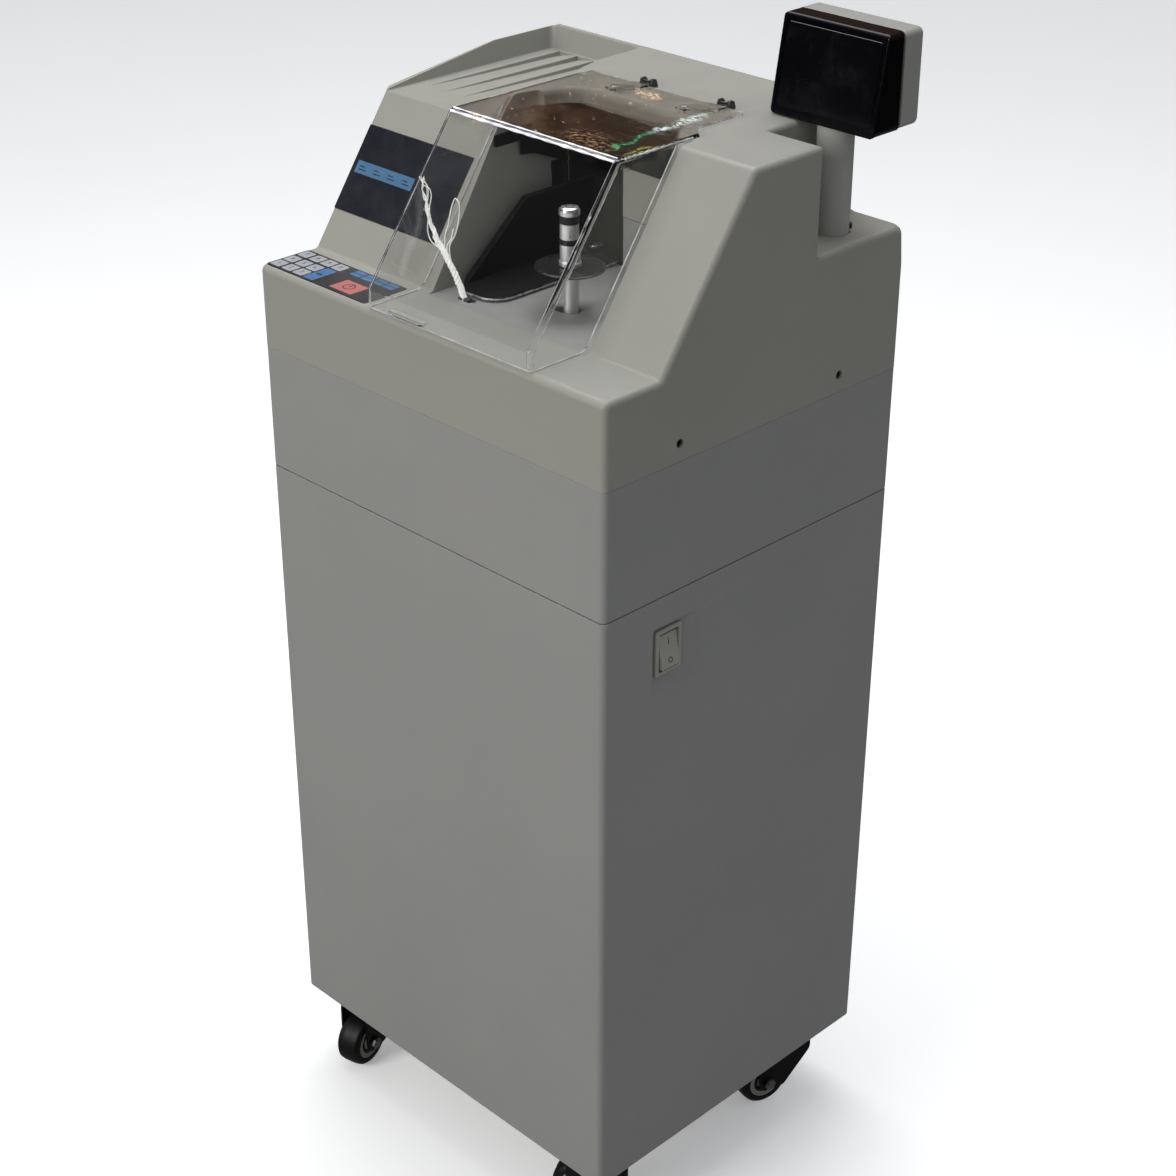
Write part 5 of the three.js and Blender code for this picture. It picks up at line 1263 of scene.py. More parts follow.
# rear corners cut out of the top
RIGHT_CUTOUT = [(120.5, HINGE_Y + 10), (120.5, 26, 14), (131, 14, 10), (LID_RIGHT + 10, 4),
                (LID_RIGHT + 10, HINGE_Y + 10)]
LEFT_CUTOUT = [(LID_LEFT - 5, 60), (LID_LEFT + 6, 72, 7), (LID_LEFT + 6, HINGE_Y + 10),
               (LID_LEFT - 5, HINGE_Y + 10)]
FRONT_LIP = [(LID_LEFT + 30, LID_FRONT + 1), (LID_LEFT + 34, LID_FRONT - 4.3, 3),
             (LID_LEFT + 74, LID_FRONT - 4.3, 3), (LID_LEFT + 78, LID_FRONT + 1)]
lid = cut(prism("x", LID_PROFILE, LID_LEFT, LID_RIGHT, LID_R, LID_R, 8, 7),
          prism("x", LID_INSIDE, LID_LEFT + LID_T, LID_RIGHT - LID_T, 1.8, 1.8, 8, 4),
          prism("x", LID_SLOPE, LID_LEFT - 10, LID_RIGHT + 10),
          box(LID_LEFT - 10, LID_RIGHT + 10, LID_FRONT - 20, HINGE_Y + 40,
              LID_LOW - 40, LID_LOW),
          box(LID_LEFT - 10, LID_RIGHT + 10, HINGE_Y - 5, HINGE_Y + 40,
              LID_LOW - 45, LID_INNER + 20),
          prism("z", RIGHT_CUTOUT, LID_INNER - 5, LID_TOP + 5, steps=10),
          prism("z", LEFT_CUTOUT, LID_INNER - 5, LID_TOP + 5))
lid = add(lid, prism("z", FRONT_LIP, LID_LOW + 3, LID_LOW + 5.5, steps=6))
lid = finish(lid, "clear_cover_sheet", "clear_acrylic", "clear_cover", body="cover", sharp=28)
# second material: sawn edges, and rims painted as highlights
lid.data.materials.append(MATERIALS["clear_edge_and_highlight"])


def is_cut_edge_or_painted_rim(centre, normal):
    """Whether a face of the clear sheet is a sawn edge, or a rounded rim that takes the edge
    material as a painted highlight; the centre is in the row frame, mm.
    """
    on_top = LID_INNER + 0.1 < centre.z < LID_TOP - 0.1
    return ((normal.z < -0.9 and centre.z < LID_LOW + 1)
            or (normal.y > 0.9 and centre.y > HINGE_Y - 6)
            or (normal.y > 0.5 and centre.y > slope_y(centre.z) - 3.5 and centre.z < LID_INNER)
            or (abs(normal.z) < 0.2 and on_top and centre.y > 0
                and abs(normal.x) + abs(normal.y) > 0.9)
            # rounded rims along the top's sides and its right tip: painted highlight, not cut edges
            or (abs(normal.x) > 0.45 and centre.y > slope_y(LID_INNER) + 2
                and centre.z > LID_INNER)
            or (centre.x > LID_RIGHT - 8 and centre.y > -14 and centre.z > LID_INNER - 1
                and normal.z < 0.85))


for face in lid.data.polygons:
    if is_cut_edge_or_painted_rim(face.center * 1000.0, face.normal):
        face.material_index = 1


def bead(points, radius, seed):
    """Fine uneven bead where the sheet was folded, a line of painted highlight."""
    return tube(smooth_path(points, 90),
                lambda t: radius * (1 + 0.22 * math.sin(t * 61 + seed)
                                    + 0.12 * math.sin(t * 23 + seed * 2)), 6)


def cross_bead(y, z, radius, seed):
    return bead([(LID_LEFT + 4 + (LID_RIGHT - LID_LEFT - 8) * t, y, z)
                 for t in (0, 0.25, 0.5, 0.75, 1)], radius, seed)


fold_reach = 6.0 / math.tan(math.radians(62.9))  # from the bend's corner to where its arc ends
incline_y, incline_z = LID_BEND - LID_FRONT, LID_TOP - LID_LOW - 17
incline = math.hypot(incline_y, incline_z)
# beads across the two bends that glow as a painted highlight
finish(join([cross_bead(LID_BEND + fold_reach - 0.6, LID_TOP - 0.2, 0.8, 1),
             cross_bead(LID_BEND - fold_reach * (incline_y / incline) + 0.5,
                        LID_TOP - fold_reach * (incline_z / incline) + 0.3, 1.15, 2)]),
       "clear_cover_fold_painted_glow", "painted_fold_glow", body="cover", sharp=60)

# (y, z) lines of the painted highlight beads up the front face and round the sides
front_line = [(LID_FRONT, LID_LOW + 1), (LID_FRONT, LID_LOW + 13),
              (LID_FRONT + 0.25, LID_LOW + 15.6), (LID_FRONT + 1.1, LID_LOW + 18.3)]
front_line += [(LID_FRONT + (incline_y - 1.8) * t, LID_KNEE + (incline_z - 2.5) * t)
               for t in (0.1, 0.3, 0.5, 0.7, 0.9, 1.0)]
_, (knee_y, knee_z, _), (bend_y, bend_z, _), *_ = inset(LID_PROFILE, LID_R)
side_line = [(knee_y, LID_LOW + 1), (knee_y, knee_z - 2)]
side_line += [(knee_y + (bend_y - knee_y) * t, knee_z + (bend_z - knee_z) * t)
              for t in (0.04, 0.3, 0.5, 0.7, 0.96)]
left_line = [(y, LID_INNER + 0.9) for y in (LID_BEND + 8, -50, -10, 20, 58)]
right_line = [(y, LID_INNER + 1.2) for y in (LID_BEND + 8, -60, -30, 2)]
# x, line, radius, seed
BEADS = [(LID_RIGHT - LID_R, front_line, 0.26, 3), (LID_RIGHT, side_line, 0.32, 4),
         (LID_LEFT + LID_R, front_line, 0.4, 5), (LID_LEFT, side_line, 0.4, 6),
         (LID_LEFT + 0.4, left_line, 0.5, 7), (LID_RIGHT - 0.6, right_line, 1.0, 8)]
# the beads are lines of painted highlight
finish(join([bead([(x, y, z) for y, z in line], radius, seed) for x, line, radius, seed in BEADS]),
       "clear_cover_painted_highlight_beads", "clear_edge_and_highlight", body="cover", sharp=60)

# hinges: blocks on the cabinet, leaves and their screws on the clear cover
HINGE_BLOCK = [(HINGE_Y - 4, TOP + 0.3), (HINGE_Y + 7, TOP + 0.3, 1.2),
               (HINGE_Y + 4.5, HINGE_Z + 3, 2.4), (HINGE_Y - 2, HINGE_Z + 3.4, 2.4)]
LEAF_SCREW = [(0, 0.35), (1.9, 0.35), (1.9, 1.85), (3.8, 1.85, 0.1), (3.8, 2.5, 0.5),
              (2.0, 2.8, 0.4), (0, 2.8)]
LEAF_LOW, LEAF_HIGH, SCREW_Y = LID_TOP + 0.3, LID_TOP + 1.8, HINGE_Y - 32
for name, x, screw_x in (("left", -1.0, -11.0), ("right", 93.5, 75.0)):
    finish(add(prism("x", HINGE_BLOCK, x - 6.6, x - 4.4, 0.8, 0.4, 6, 3),
               prism("x", HINGE_BLOCK, x + 4.4, x + 8.2, 0.4, 0.8, 6, 3),
               rod("x", HINGE, 1.4, x - 7.2, x + 8.8, 24, 0.3)),
           "cover_hinge_%s_block" % name, "dark_metal", "cover_hinge_" + name,
           slot="black_plastic")
    outline = [(screw_x - 7, HINGE_Y - 39, 4), (screw_x + 7, HINGE_Y - 39, 4),
               (x + 9, HINGE_Y - 22, 4), (x + 9, HINGE_Y - 5.5, 2), (x - 9, HINGE_Y - 5.5, 2),
               (screw_x - 7, HINGE_Y - 24, 4)]
    leaf = add(rod("x", HINGE, 3, x - 4, x + 4, 32, 0.3),
               box(x - 4, x + 4, HINGE_Y - 8, HINGE_Y, LEAF_LOW, LEAF_HIGH),
               prism("z", outline, LEAF_LOW, LEAF_HIGH, 0.2, 0.4, 6, 2))
    leaf = cut(leaf, rod("x", HINGE, 1.75, x - 20, x + 20, 24),
               rod("z", (screw_x, SCREW_Y), 2.2, LID_INNER, LID_INNER + 9, 28))
    finish(leaf, "cover_leaf_%s_plate" % name, "clear_leaf", "cover_leaf_" + name, body="cover")
    screw = cut(turned(LEAF_SCREW, 3, "z", (screw_x, SCREW_Y), 32, base=LID_TOP),
                *[box(screw_x - a, screw_x + a, SCREW_Y - b, SCREW_Y + b,
                      LID_TOP + 2.2, LID_INNER + 9) for a, b in ((2.6, 0.4), (0.4, 2.6))])
    finish(screw, "cover_leaf_%s_screw" % name, "zinc", body="cover", slot="steel")

# ================================================================ pole and display head
HEAD_Z, HEAD_H, HEAD_W = 1085.2, 84.5, 119.0
POLE_X, POLE_Y = POLE
HEAD_LEFT, HEAD_RIGHT = POLE_X - HEAD_W / 2, POLE_X + HEAD_W / 2
HEAD_TOP = HEAD_Z + HEAD_H
FACE_Y0, FACE_Y1, SPLIT_Y, HEAD_REAR = 107.6, 122.4, 142.0, 166.0  # face foot and top, joint, rear
SET_SCREW = (0, 989)

pole = turned([(POLE_R - 2, 965), (POLE_R, 965, 0.3), (POLE_R, HEAD_Z - 0.5, 0.5),
               (POLE_R - 2, HEAD_Z - 0.5, 0.3)], 3, "z", POLE, 72, ring=True)
finish(cut(pole, turn(rod("x", SET_SCREW, 2.5, 0, 30, 24), *POLE, 45)),
       "display_pole_tube", "pole_paint", "display_pole")
SET_SCREW_HEAD = [(0, 0.3), (3.4, 0.3, 0.2), (3.4, 1.6, 0.5), (2, 2.2, 0.4), (0, 2.2)]
screw = add(rod("x", SET_SCREW, 2.1, 13.5, 17, 24),
            turned(SET_SCREW_HEAD, 3, "x", SET_SCREW, 32, base=POLE_R))
screw = cut(screw, rod("x", SET_SCREW, 1.5, POLE_R + 1.2, 30, 6))
finish(turn(screw, *POLE, 45), "pole_set_screw", "dark_metal", "pole_screw", slot="zinc")


def head_outline(low, high, low_radius, high_radius):
    """The head seen from the front, as (z, x)."""
    return [(low, HEAD_LEFT, low_radius), (high, HEAD_LEFT, high_radius),
            (high, HEAD_RIGHT, high_radius), (low, HEAD_RIGHT, low_radius)]


rear_shell = add(prism("y", head_outline(HEAD_Z, HEAD_TOP + 0.5, 7, 6),
                       SPLIT_Y + 0.15, HEAD_REAR + 0.6, 0.5, 3, 8, 5),
                 rod("z", POLE, 12.5, 1040, HEAD_Z + 24),
                 box(POLE_X - 9, POLE_X + 9, POLE_Y, SPLIT_Y + 2, HEAD_Z + 4, HEAD_Z + 22))
for i in range(7):  # vents pressed in the back
    z = HEAD_Z + 22 + i * 6.4
    rear_shell = cut(rear_shell, prism("y", rect(z, z + 2.6, POLE_X - 30, POLE_X + 30, 1.2),
                                       HEAD_REAR - 1.2, HEAD_REAR + 3, steps=4))
finish(rear_shell, "display_rear_shell", "display_grey", "display_rear_housing", body="display")

FACE_LENGTH = math.hypot(HEAD_H, FACE_Y1 - FACE_Y0)
FACE_PLANE = (FACE_Y0, HEAD_Z, (FACE_Y1 - FACE_Y0) / FACE_LENGTH, HEAD_H / FACE_LENGTH)
HEAD_PROFILE = [(SPLIT_Y - 0.15, HEAD_Z - 0.2), (SPLIT_Y - 0.15, HEAD_TOP + 0.4),
                (FACE_Y1, HEAD_TOP, 4.6), (FACE_Y0 - 0.4, HEAD_Z - 3.2, 2.8),
                (112.4, HEAD_Z - 0.2, 2)]
front_shell = overlap(prism("x", HEAD_PROFILE, HEAD_LEFT, HEAD_RIGHT, 4, 4, 8, 7),
                      prism("y", head_outline(HEAD_Z - 3.0, HEAD_TOP + 0.6, 10.5, 7.5), 90, 150))
front_shell = cut(front_shell,
                  inclined_plate(FACE_PLANE, HEAD_LEFT + 7, HEAD_RIGHT - 7,
                                 6.5, FACE_LENGTH - 6.5, 3, -1.4, 6, 0, 6),
                  rod("z", POLE, 13, 1000, HEAD_Z + 24.4),
                  box(POLE_X - 9.4, POLE_X + 9.4, POLE_Y, SPLIT_Y + 2,
                      HEAD_Z + 3.6, HEAD_Z + 22.4))
finish(front_shell, "display_front_shell", "gloss_black", "display_front_housing",
       body="display")
finish(inclined_plate(FACE_PLANE, HEAD_LEFT + 7.4, HEAD_RIGHT - 7.4, 6.9, FACE_LENGTH - 6.9,
                      2.8, -1.1, 0.2, 0.25, 6),
       "display_lens_sheet", "display_lens", "display_lens", body="display")

# ================================================================ switch and side screws
SWITCH_X, SWITCH_Z = SIDE - 5.5, 664.5
bezel = add(prism("x", rect(-123.6, -90, 641.4, 687.6, 2.4), SWITCH_X + 0.3, SWITCH_X + 3.3,
                  0, 1.1, 6, 4),
            prism("x", rect(-120.8, -92.8, 643.6, 685.4), SWITCH_X - 16, SWITCH_X + 1))
bezel = cut(bezel, prism("x", rect(-119.3, -94.3, 645.2, 683.8, 1), SWITCH_X - 13,
                         SWITCH_X + 10, steps=4))
finish(bezel, "switch_bezel_frame", "switch_ivory", "switch_bezel")
ROCKER = [(SWITCH_Z - 16.4, SWITCH_X + 7.4, 1.2), (SWITCH_Z, SWITCH_X + 3.6, 8),
          (SWITCH_Z + 16.4, SWITCH_X + 1.2, 1.2), (SWITCH_Z + 15, SWITCH_X - 4),
          (SWITCH_Z, SWITCH_X - 7.5, 3), (SWITCH_Z - 15, SWITCH_X - 4)]
finish(prism("y", ROCKER, -118.5, -95.1, 0.7, 0.7, 8, 3), "switch_rocker_cap",
       "switch_ivory", "switch_rocker", body="rocker")


def on_rocker(mark, offset, lean):
    """Lays a mark on the leaning rocker face, offset up from its middle."""
    mark.data.transform(Matrix.Translation((SWITCH_X + 3.6 - offset * lean, -106.8,
                                            SWITCH_Z + offset))
                        @ Matrix.Rotation(-math.atan(lean), 4, "Y")
                        @ Matrix.Rotation(math.pi / 2, 4, "Y"))
    return mark


ring_mark = lathe([(1.9, -0.1), (2.7, -0.1), (2.7, 0.1), (1.9, 0.1)], sides=28, ring=True)
bar_mark = prism("z", rect(-3.0, 3.0, -0.4, 0.4), -0.1, 0.1)
finish(join([on_rocker(ring_mark, -9.0, 3.8 / 16.4), on_rocker(bar_mark, 9.0, 2.4 / 16.4)]),
       "switch_rocker_marks", "key_ink", body="rocker", slot="switch_ivory")

SIDE_SCREW = [(0, 221.8), (3.8, 221.8), (3.8, 223.0, 0.5), (1.6, 223.6, 0.6), (0, 223.6)]
for name, y in SIDE_SCREWS:
    at = (y, SIDE_SCREW_Z)
    screw = add(turned(SIDE_SCREW, 4, "x", at, 36), rod("x", at, 2, 214, 222, 20))
    screw = cut(screw, *[box(222.7, 226, y - a, y + a, SIDE_SCREW_Z - b, SIDE_SCREW_Z + b)
                         for a, b in ((2.4, 0.45), (0.45, 2.4))])
    finish(screw, "side_screw_%s_head" % name, "dark_metal", "side_screw_" + name, slot="zinc")

# ================================================================ pull cord
# x, y, height above the ledge
CORD_PATH = [(-26.8, -113.4, -2.6), (-29.6, -114, 3), (-33, -114.5, 11), (-39, -116, 22.5),
             (-48, -117, 35.5), (-57.5, -118.5, 48.5), (-63.5, -120.7, 65.5),
             (-66.2, -122, 79.5), (-66.6, -125, 99.5)]
# thin loops of the frayed end: sample of the cord it leaves, points as above, sample it
# comes back to or None, radius
CORD_LOOPS = [
    (150, [(-67.5, -121.0, 72), (-66.0, -119.5, 84), (-64.5, -121.0, 96),
           (-66.0, -124.4, 100)], 232, 0.42),
    (122, [(-46.4, -118, 53.9), (-41.8, -118, 65.5), (-38.8, -118, 76.9), (-35.1, -118, 86.4),
           (-31.4, -118, 91.8), (-26.6, -118, 88.1), (-27.3, -118, 75.9), (-32.6, -118, 58.6),
           (-40.7, -118, 45.8)], 96, 0.5),
    (112, [(-43.4, -118.4, 45.4), (-38.0, -118.6, 53.4), (-34.4, -118.6, 63.4)], None, 0.42),
    (126, [(-58.9, -122, 45.2), (-63.7, -122, 50.5), (-65.0, -122, 57.9), (-62.9, -122, 69.4),
           (-61.4, -122, 76.8)], 196, 0.46),
    (190, [(-59.6, -122, 84.1), (-58.8, -122, 90.2), (-60.5, -122.4, 94.8),
           (-64.0, -123.6, 96.4)], 236, 0.46),
    (200, [(-63.2, -123.0, 94), (-65.0, -124.5, 104)], None, 0.32)]
STRAND_SAMPLES = (240, 226, 172)  # where each of the three strands ends


def above_ledge(points):
    return [(x, y, LEDGE + z) for x, y, z in points]


def strand(core, index, samples):
    """One of the three twisted strands, which thin out towards the frayed end."""
    points = []
    for i, point in enumerate(core):
        t = i / 239
        angle = 2 * math.pi * (t * 9 + index / 3)
        full = 1.0 if t < 0.5 else 1.0 - 0.62 * (t - 0.5) / 0.5
        spread = (1.75 * full * min(1.0, 0.55 + t * 4)
                  + 0.5 * math.sin(t * 21 + index * 1.7) * t)
        points.append(point + Vector((spread * math.cos(angle), spread * math.sin(angle) * 0.9,
                                      0.3 * math.sin(angle * 2))))
    return tube(points[:samples],
                lambda q: ((1.5 if q < 0.6 else 1.5 - 0.95 * (q - 0.6) / 0.4)
                           * (1 + 0.13 * math.sin(q * 90 + index))), 8)


def cord():
    core = smooth_path(above_ledge(CORD_PATH), 240)
    parts = [strand(core, index, samples) for index, samples in enumerate(STRAND_SAMPLES)]
    for start, points, end, radius in CORD_LOOPS:
        points = [core[start]] + above_ledge(points) + ([] if end is None else [core[end]])
        parts.append(tube(smooth_path(points, 64), radius, 6))
    draw = random.Random(11)
    for _ in range(64):  # loose fibres along the rope
        start = core[draw.randint(14, 226)]
        direction = Vector((draw.uniform(-1, 1), draw.uniform(-0.5, 0.5),
                            draw.uniform(-0.3, 1.0))).normalized()
        length = draw.uniform(2.4, 4.8)
        middle = start + direction * length * 0.5 + Vector((0, 0, draw.uniform(-0.4, 0.4)))
        end = start + direction * length + Vector((draw.uniform(-0.8, 0.8), 0,
                                                   draw.uniform(-0.8, 0.8)))
        parts.append(tube([start, middle, end], 0.16, 5))
    for _ in range(9):  # tuft at the tip
        start = core[238]
        direction = Vector((draw.uniform(-0.7, 0.5), draw.uniform(-0.2, 0.2),
                            1.0)).normalized()
        length = draw.uniform(4.0, 8.0)
        end = start + direction * length + Vector((draw.uniform(-1.2, 1.2), 0, 0))
        parts.append(tube([start - direction * 2, start + direction * length * 0.5, end],
                          0.26, 5))
    wrap = []  # two turns round the pin
    for i in range(41):
        angle = 2 * math.pi * 2 * i / 40
        wrap.append((PIN[0] + 4.3 * math.cos(angle), PIN[1] + 4.3 * math.sin(angle),
                     LEDGE - 6.2 + 2.2 * i / 40))
    parts.append(tube(wrap + [tuple(core[0])], 0.95, 8))
    return join(parts)


finish(cord(), "transit_cord_strands", "cotton", "transit_cord", sharp=60, weighted=False)

# ================================================================ casters
# Made about the swivel axis, with the wheel trailing behind it along -y.
WHEEL_R, WHEEL_HALF, TRAIL = 29.0, 27.0 / 2, 29.4
AXLE = (-TRAIL, WHEEL_R)
LEG_IN, LEG_OUT, FORK_TOP = WHEEL_HALF + 1.4, WHEEL_HALF + 1.4 + 3.2, CASTER_H - 2.9
FORK_LEG = [(24, FORK_TOP - 7, 3), (24, 55.5, 12), (-9, 18.5, 7), (-TRAIL - 9.5, 18.5, 9),
            (-TRAIL - 11.5, 42, 8), (-41, FORK_TOP - 20, 9), (-38, FORK_TOP - 7, 3)]
FORK_CROWN = [(22, FORK_TOP - 11), (22, FORK_TOP - 7, 2), (-37, FORK_TOP - 7, 2),
              (-37, FORK_TOP - 11)]
SWIVEL = [(0, -9), (20, -9), (22, -7.5, 0.8), (22, -4.5, 0.6), (20.6, -4, 0.3),
          (21.4, -3.2, 0.4), (20, 0, 0.8), (0, 0)]
# one half of each symmetric section: radius, depth from the wheel's side, corner radius
TYRE_HALF = [(20.8, 0, 0), (25.4, 0, 1.2), (28.2, 2.6, 2.6), (WHEEL_R, 8, 4)]
HUB_HALF = [(4.5, 0, 0), (9.5, 0, 0.8), (11.5, 4, 1), (14.4, 4, 0.8), (15.2, 0.6, 0.6),
            (17.3, 0.6, 0.2), (17.5, 1.5, 0.2), (18.2, 1.5, 0.2), (18.4, 0.6, 0.2),
            (20.3, 0.6, 0.5)]


def fork():
    return cut(add(prism("x", FORK_LEG, -LEG_OUT, -LEG_IN, 1.1, 0.2, 7, 4),
                   prism("x", FORK_LEG, LEG_IN, LEG_OUT, 0.2, 1.1, 7, 4),
                   prism("x", FORK_CROWN, -LEG_OUT + 0.5, LEG_OUT - 0.5, 1.2, 1.2, 4, 3),
                   turned(SWIVEL, 4, sides=56, base=FORK_TOP)),
               rod("x", AXLE, 4.3, -40, 40, 24))


def about_axle(part):
    """From a piece turned about z at the origin to one turned about the wheel's axle."""
    part.data.transform(Matrix.Translation((0, -TRAIL, WHEEL_R))
                        @ Matrix.Rotation(math.pi / 2, 4, "Y"))
    return part


def wheel_ring(half, steps, sides):
    path = [(radius, depth - WHEEL_HALF, corner) for radius, depth, corner in half]
    path += [(radius, WHEEL_HALF - depth, corner) for radius, depth, corner in reversed(half)]
    return about_axle(turned(path, steps, sides=sides, ring=True))


def tyre():
    return wheel_ring(TYRE_HALF, 6, 96)


def hub():
    return wheel_ring(HUB_HALF, 4, 72)


def boss():
    """Dark washer faces and rings of eight studs in the hub's dishes."""
    parts = []
    for sign in (-1, 1):
        z = sign * (WHEEL_HALF - 2.7)
        parts.append(lathe([(9.7, z - 1.0), (14.2, z - 1.0), (14.2, z + 1.0), (9.7, z + 1.0)],
                           ring=True))
        stud = [(0, sign * 0.9), (1.1, sign * 0.9), (1.1, sign * 1.9, 0.4), (0, sign * 2.0)]
        for i in range(8):
            angle = math.pi * 2 * i / 8
            parts.append(turned(stud, 3, "z", (12.0 * math.cos(angle), 12.0 * math.sin(angle)),
                                12, base=z))
    return about_axle(join(parts))


def nut(start, end):
    hexagon = [(AXLE[0] + 6.8 * math.cos(i * math.pi / 3),
                AXLE[1] + 6.8 * math.sin(i * math.pi / 3), 0.4) for i in range(6)]
    chamfer = [(0, start - 0.1), (5.9, start - 0.1), (7.4, start + 1.0), (7.4, end - 1.0),
               (5.9, end + 0.1), (0, end + 0.1)]
    return overlap(prism("x", hexagon, start, end, 0.3, 0.3, 3, 2), lathe(chamfer, "x", AXLE))


def axle():
    return add(rod("x", AXLE, 3.9, -LEG_OUT - 1, LEG_OUT + 5, 32, 0.6),
               nut(LEG_OUT + 0.3, LEG_OUT + 4), nut(-LEG_OUT - 4, -LEG_OUT - 0.3))


# maker, object name, material, body, frame node it replaces
CASTER_PARTS = [
    (fork, "caster_fork_%s_pressed", "fork_black", "swivel_", "caster_fork_"),
    (axle, "caster_axle_%s_bolt", "zinc", "swivel_", "caster_axle_"),
    (tyre, "caster_tyre_%s_tread", "tyre_black", "wheel_", "caster_tyre_"),
    (hub, "caster_hub_%s_moulding", "hub_grey", "wheel_", "caster_hub_"),
    (boss, "caster_boss_%s", "black_plastic", "wheel_", None)]
for corner, x, y, yaw in CASTERS:
    for make, name, material, body, replaced in CASTER_PARTS:
        finish(turn(make(), x, y, yaw), name % corner, material,
               replaced and replaced + corner, body=body + corner)

# ================================================================ internals
# frame pieces that keep their shape: node, material, edge rounding in metres
INTERNALS = [("mechanism_shelf", "zinc", 0.0003), ("power_supply", "zinc", 0.0006),
             ("vacuum_pump", "pump_paint", 0.0008), ("drive_motor", "dark_metal", 0.0005),
             ("dust_filter", "filter_grey", 0.0006), ("control_board", "board_green", 0.0002),
             ("drive_belt", "rubber_black", 0.0), ("suction_hose", "hose_black", 0.0)]
for node, material, rounding in INTERNALS:
    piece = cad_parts[node]
    piece.data.materials.clear()
    piece.data.materials.append(MATERIALS[material])
    piece.modifiers.new("weld", "WELD").merge_threshold = 0.00001
    if rounding:
        modifier = piece.modifiers.new("round", "BEVEL")
        modifier.width, modifier.segments = rounding, 2
        modifier.limit_method, modifier.angle_limit = "ANGLE", math.radians(40)
    for face in piece.data.polygons:
        face.use_smooth = True
    piece.modifiers.new("weighted", "WEIGHTED_NORMAL").keep_sharp = False

# ================================================================ floor
FLOOR_HALF = 14  # metres
floor_mesh = bpy.data.meshes.new("floor")
floor_mesh.from_pydata([(x, y, 0) for x, y, _ in rect(-FLOOR_HALF, FLOOR_HALF,
                                                      -FLOOR_HALF, FLOOR_HALF)],
                       [], [(0, 1, 2, 3)])
floor = new_object(floor_mesh)
# pale to the camera, greyer in the light it throws back
shader = Shader("floor_pale")
rays = shader.node("ShaderNodeLightPath")
pale = shader.mix(shader.remap(shader.noise(scale=0.8, detail=3.0, rough=0.5), (0.3, 0.7)),
                  (0.90, 0.90, 0.895), (0.93, 0.93, 0.925))
shader.set(Base_Color=shader.mix(rays.outputs["Is Diffuse Ray"], pale, (0.41, 0.41, 0.405)),
           Roughness=0.85, Emission_Color=(1.0, 1.0, 1.0),
           Emission_Strength=shader.times(rays.outputs["Is Camera Ray"], 0.26))
floor_mesh.materials.append(shader.material)
floor.visible_glossy = False


# ================================================================ world
class WorldShader(Shader):
    """The same helper, writing into the world's tree."""

    def __init__(self, world):
        self.tree = world.node_tree
        self.coords = self.node("ShaderNodeTexCoord").outputs["Generated"]


# colours by height of the view direction, from straight down to straight up
ROOM = [(0.0, (0.22, 0.22, 0.22)), (0.30, (0.035, 0.035, 0.035)), (0.42, (0.010, 0.010, 0.011)),
        (0.56, (0.012, 0.012, 0.013)), (0.72, (0.018, 0.018, 0.02)), (0.80, (0.12, 0.12, 0.13)),
        (0.88, (0.75, 0.77, 0.8)), (1.0, (0.9, 0.92, 0.95))]
BROWNS = [(0.30, (0.02, 0.012, 0.010)), (0.45, (0.10, 0.055, 0.035)),
          (0.57, (0.24, 0.13, 0.075)), (0.70, (0.5, 0.33, 0.22))]
SPARKS = [(0.40, (1.0, 0.55, 0.22)), (0.50, (1.0, 0.86, 0.7)), (0.56, (0.85, 0.92, 1.0)),
          (0.60, (0.3, 0.95, 0.6))]


def reflected_room(shader):
    """A dim room with a bright ceiling and a mottled brown far side with sparks of light."""
    split = shader.node("ShaderNodeSeparateXYZ")
    shader.link(shader.coords, split.inputs[0])
    _, y, z = split.outputs
    room = shader.ramp(shader.remap(z, (-1, 1)), ROOM)
    mottle = shader.noise(scale=42.0, detail=6.0, rough=0.62, stretch=(1, 1, 1.6))
    brown = shader.ramp(mottle, BROWNS)
    far_side = shader.times(shader.remap(y, (0.15, 0.4)),
                            shader.times(shader.remap(z, (0.2, 0.34)),
                                         shader.remap(z, (0.6, 0.72), (1, 0))))
    colour = shader.mix(far_side, room, brown)
    specks = shader.remap(shader.noise(scale=420.0, detail=3.0, rough=0.55,
                                       stretch=(1, 1, 2.5)), (0.67, 0.72))
    hue = shader.ramp(shader.noise(scale=60.0, detail=2.0, rough=0.5, stretch=(1, 1, 1)), SPARKS)
    spark = shader.mix(shader.times(specks, far_side), (0, 0, 0), hue)
    bright = shader.mix(1.0, spark, (3.0, 3.0, 3.0), "MULTIPLY")
    return shader.mix(1.0, colour, bright, "ADD")


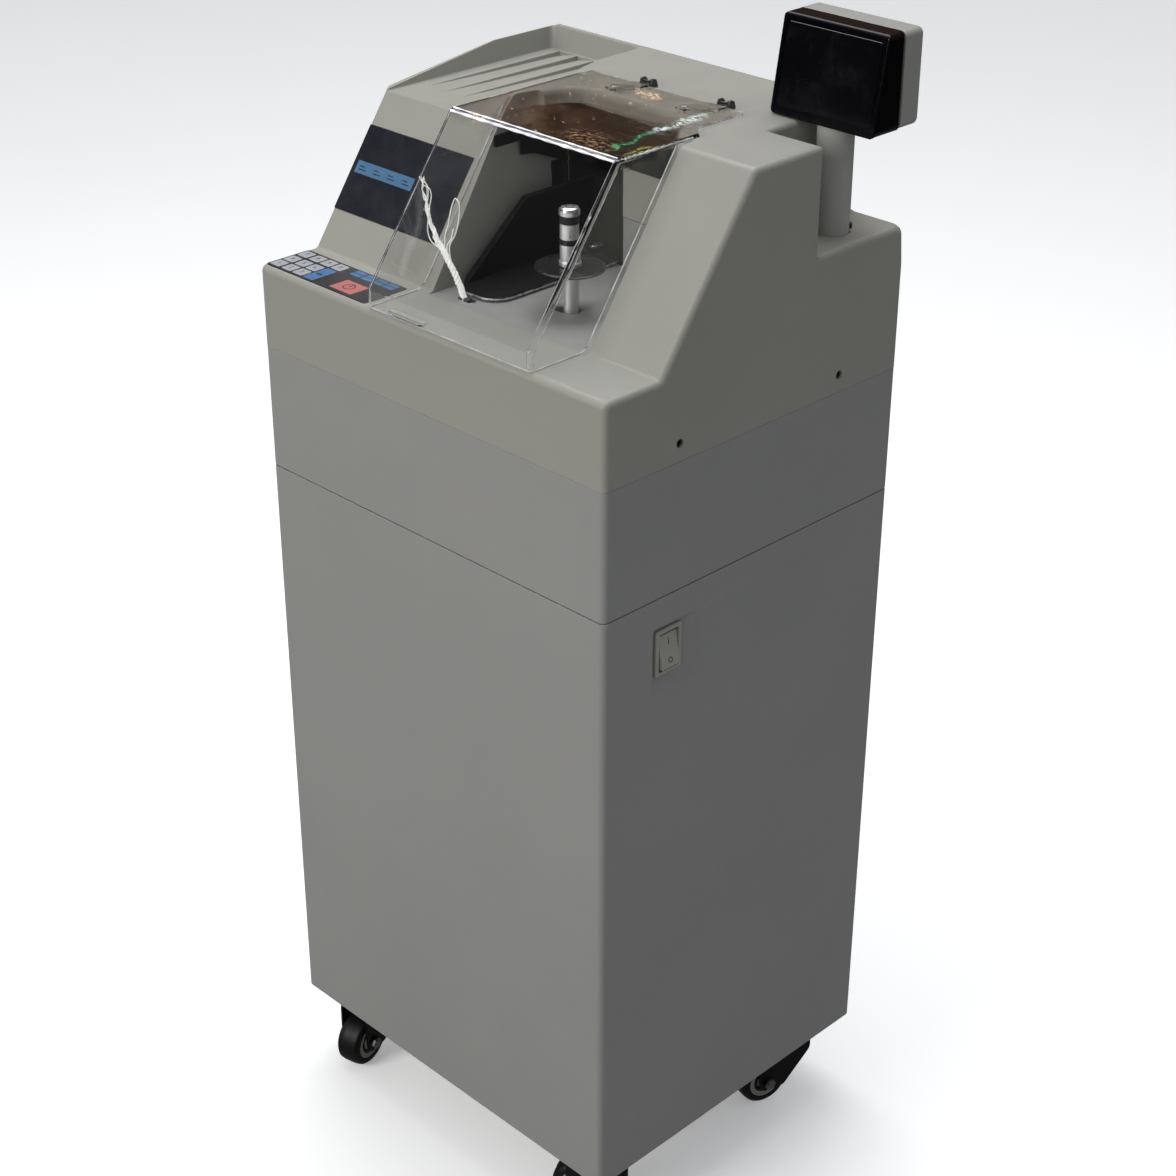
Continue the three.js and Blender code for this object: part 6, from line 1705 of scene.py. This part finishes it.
world = bpy.data.worlds.new("studio")
scene.world = world
world.use_nodes = True
even_light = world.node_tree.nodes["Background"]
even_light.inputs[0].default_value = (0.93, 0.95, 1.0, 1)
even_light.inputs[1].default_value = 0.475
shader = WorldShader(world)
reflection = reflected_room(shader)
room_light = shader.node("ShaderNodeBackground")
shader.link(reflection, room_light.inputs[0])
room_light.inputs[1].default_value = 1.0
rays = shader.node("ShaderNodeLightPath")
blend = shader.node("ShaderNodeMixShader")
shader.link(rays.outputs["Is Glossy Ray"], blend.inputs[0])
shader.link(even_light.outputs[0], blend.inputs[1])
shader.link(room_light.outputs[0], blend.inputs[2])
shader.link(blend.outputs[0], world.node_tree.nodes["World Output"].inputs[0])


# ================================================================ lamps and camera, metres
def lamp(name, place, target, size, power, colour):
    light = bpy.data.lights.new(name, "AREA")
    light.shape = "RECTANGLE"
    light.size = light.size_y = size
    light.energy, light.color = power, colour
    made = bpy.data.objects.new(name, light)
    scene.collection.objects.link(made)
    made.location = place
    aim = Vector(target) - Vector(place)
    made.rotation_euler = aim.to_track_quat("-Z", "Y").to_euler()


lamp("key", place=(-0.6, -3.6, 2.3), target=(0, 0, 0.6), size=1.6, power=80,
     colour=(1.0, 0.985, 0.95))
lamp("overhead", place=(-0.6, 0.6, 3.4), target=(0, 0, 0.8), size=2.2, power=62,
     colour=(0.97, 0.985, 1.0))

CAMERA_PLACE = (1.39375, -1.3885, 1.6723)
azimuth, elevation, roll = [math.radians(angle) for angle in (45.0334, 28.5071, 0.2035)]
lens = bpy.data.cameras.new("camera")
lens.lens, lens.sensor_width = 69.97, 36.0
lens.clip_start, lens.clip_end = 0.05, 100
camera = bpy.data.objects.new("camera", lens)
scene.collection.objects.link(camera)
backward = Vector((math.sin(azimuth) * math.cos(elevation),
                   -math.cos(azimuth) * math.cos(elevation), math.sin(elevation)))
level = Vector((math.cos(azimuth), math.sin(azimuth), 0))
upward = backward.cross(level)
rotation = Matrix((math.cos(roll) * level + math.sin(roll) * upward,
                   -math.sin(roll) * level + math.cos(roll) * upward, backward)).transposed()
camera.matrix_world = Matrix.Translation(CAMERA_PLACE) @ rotation.to_4x4()
scene.camera = camera
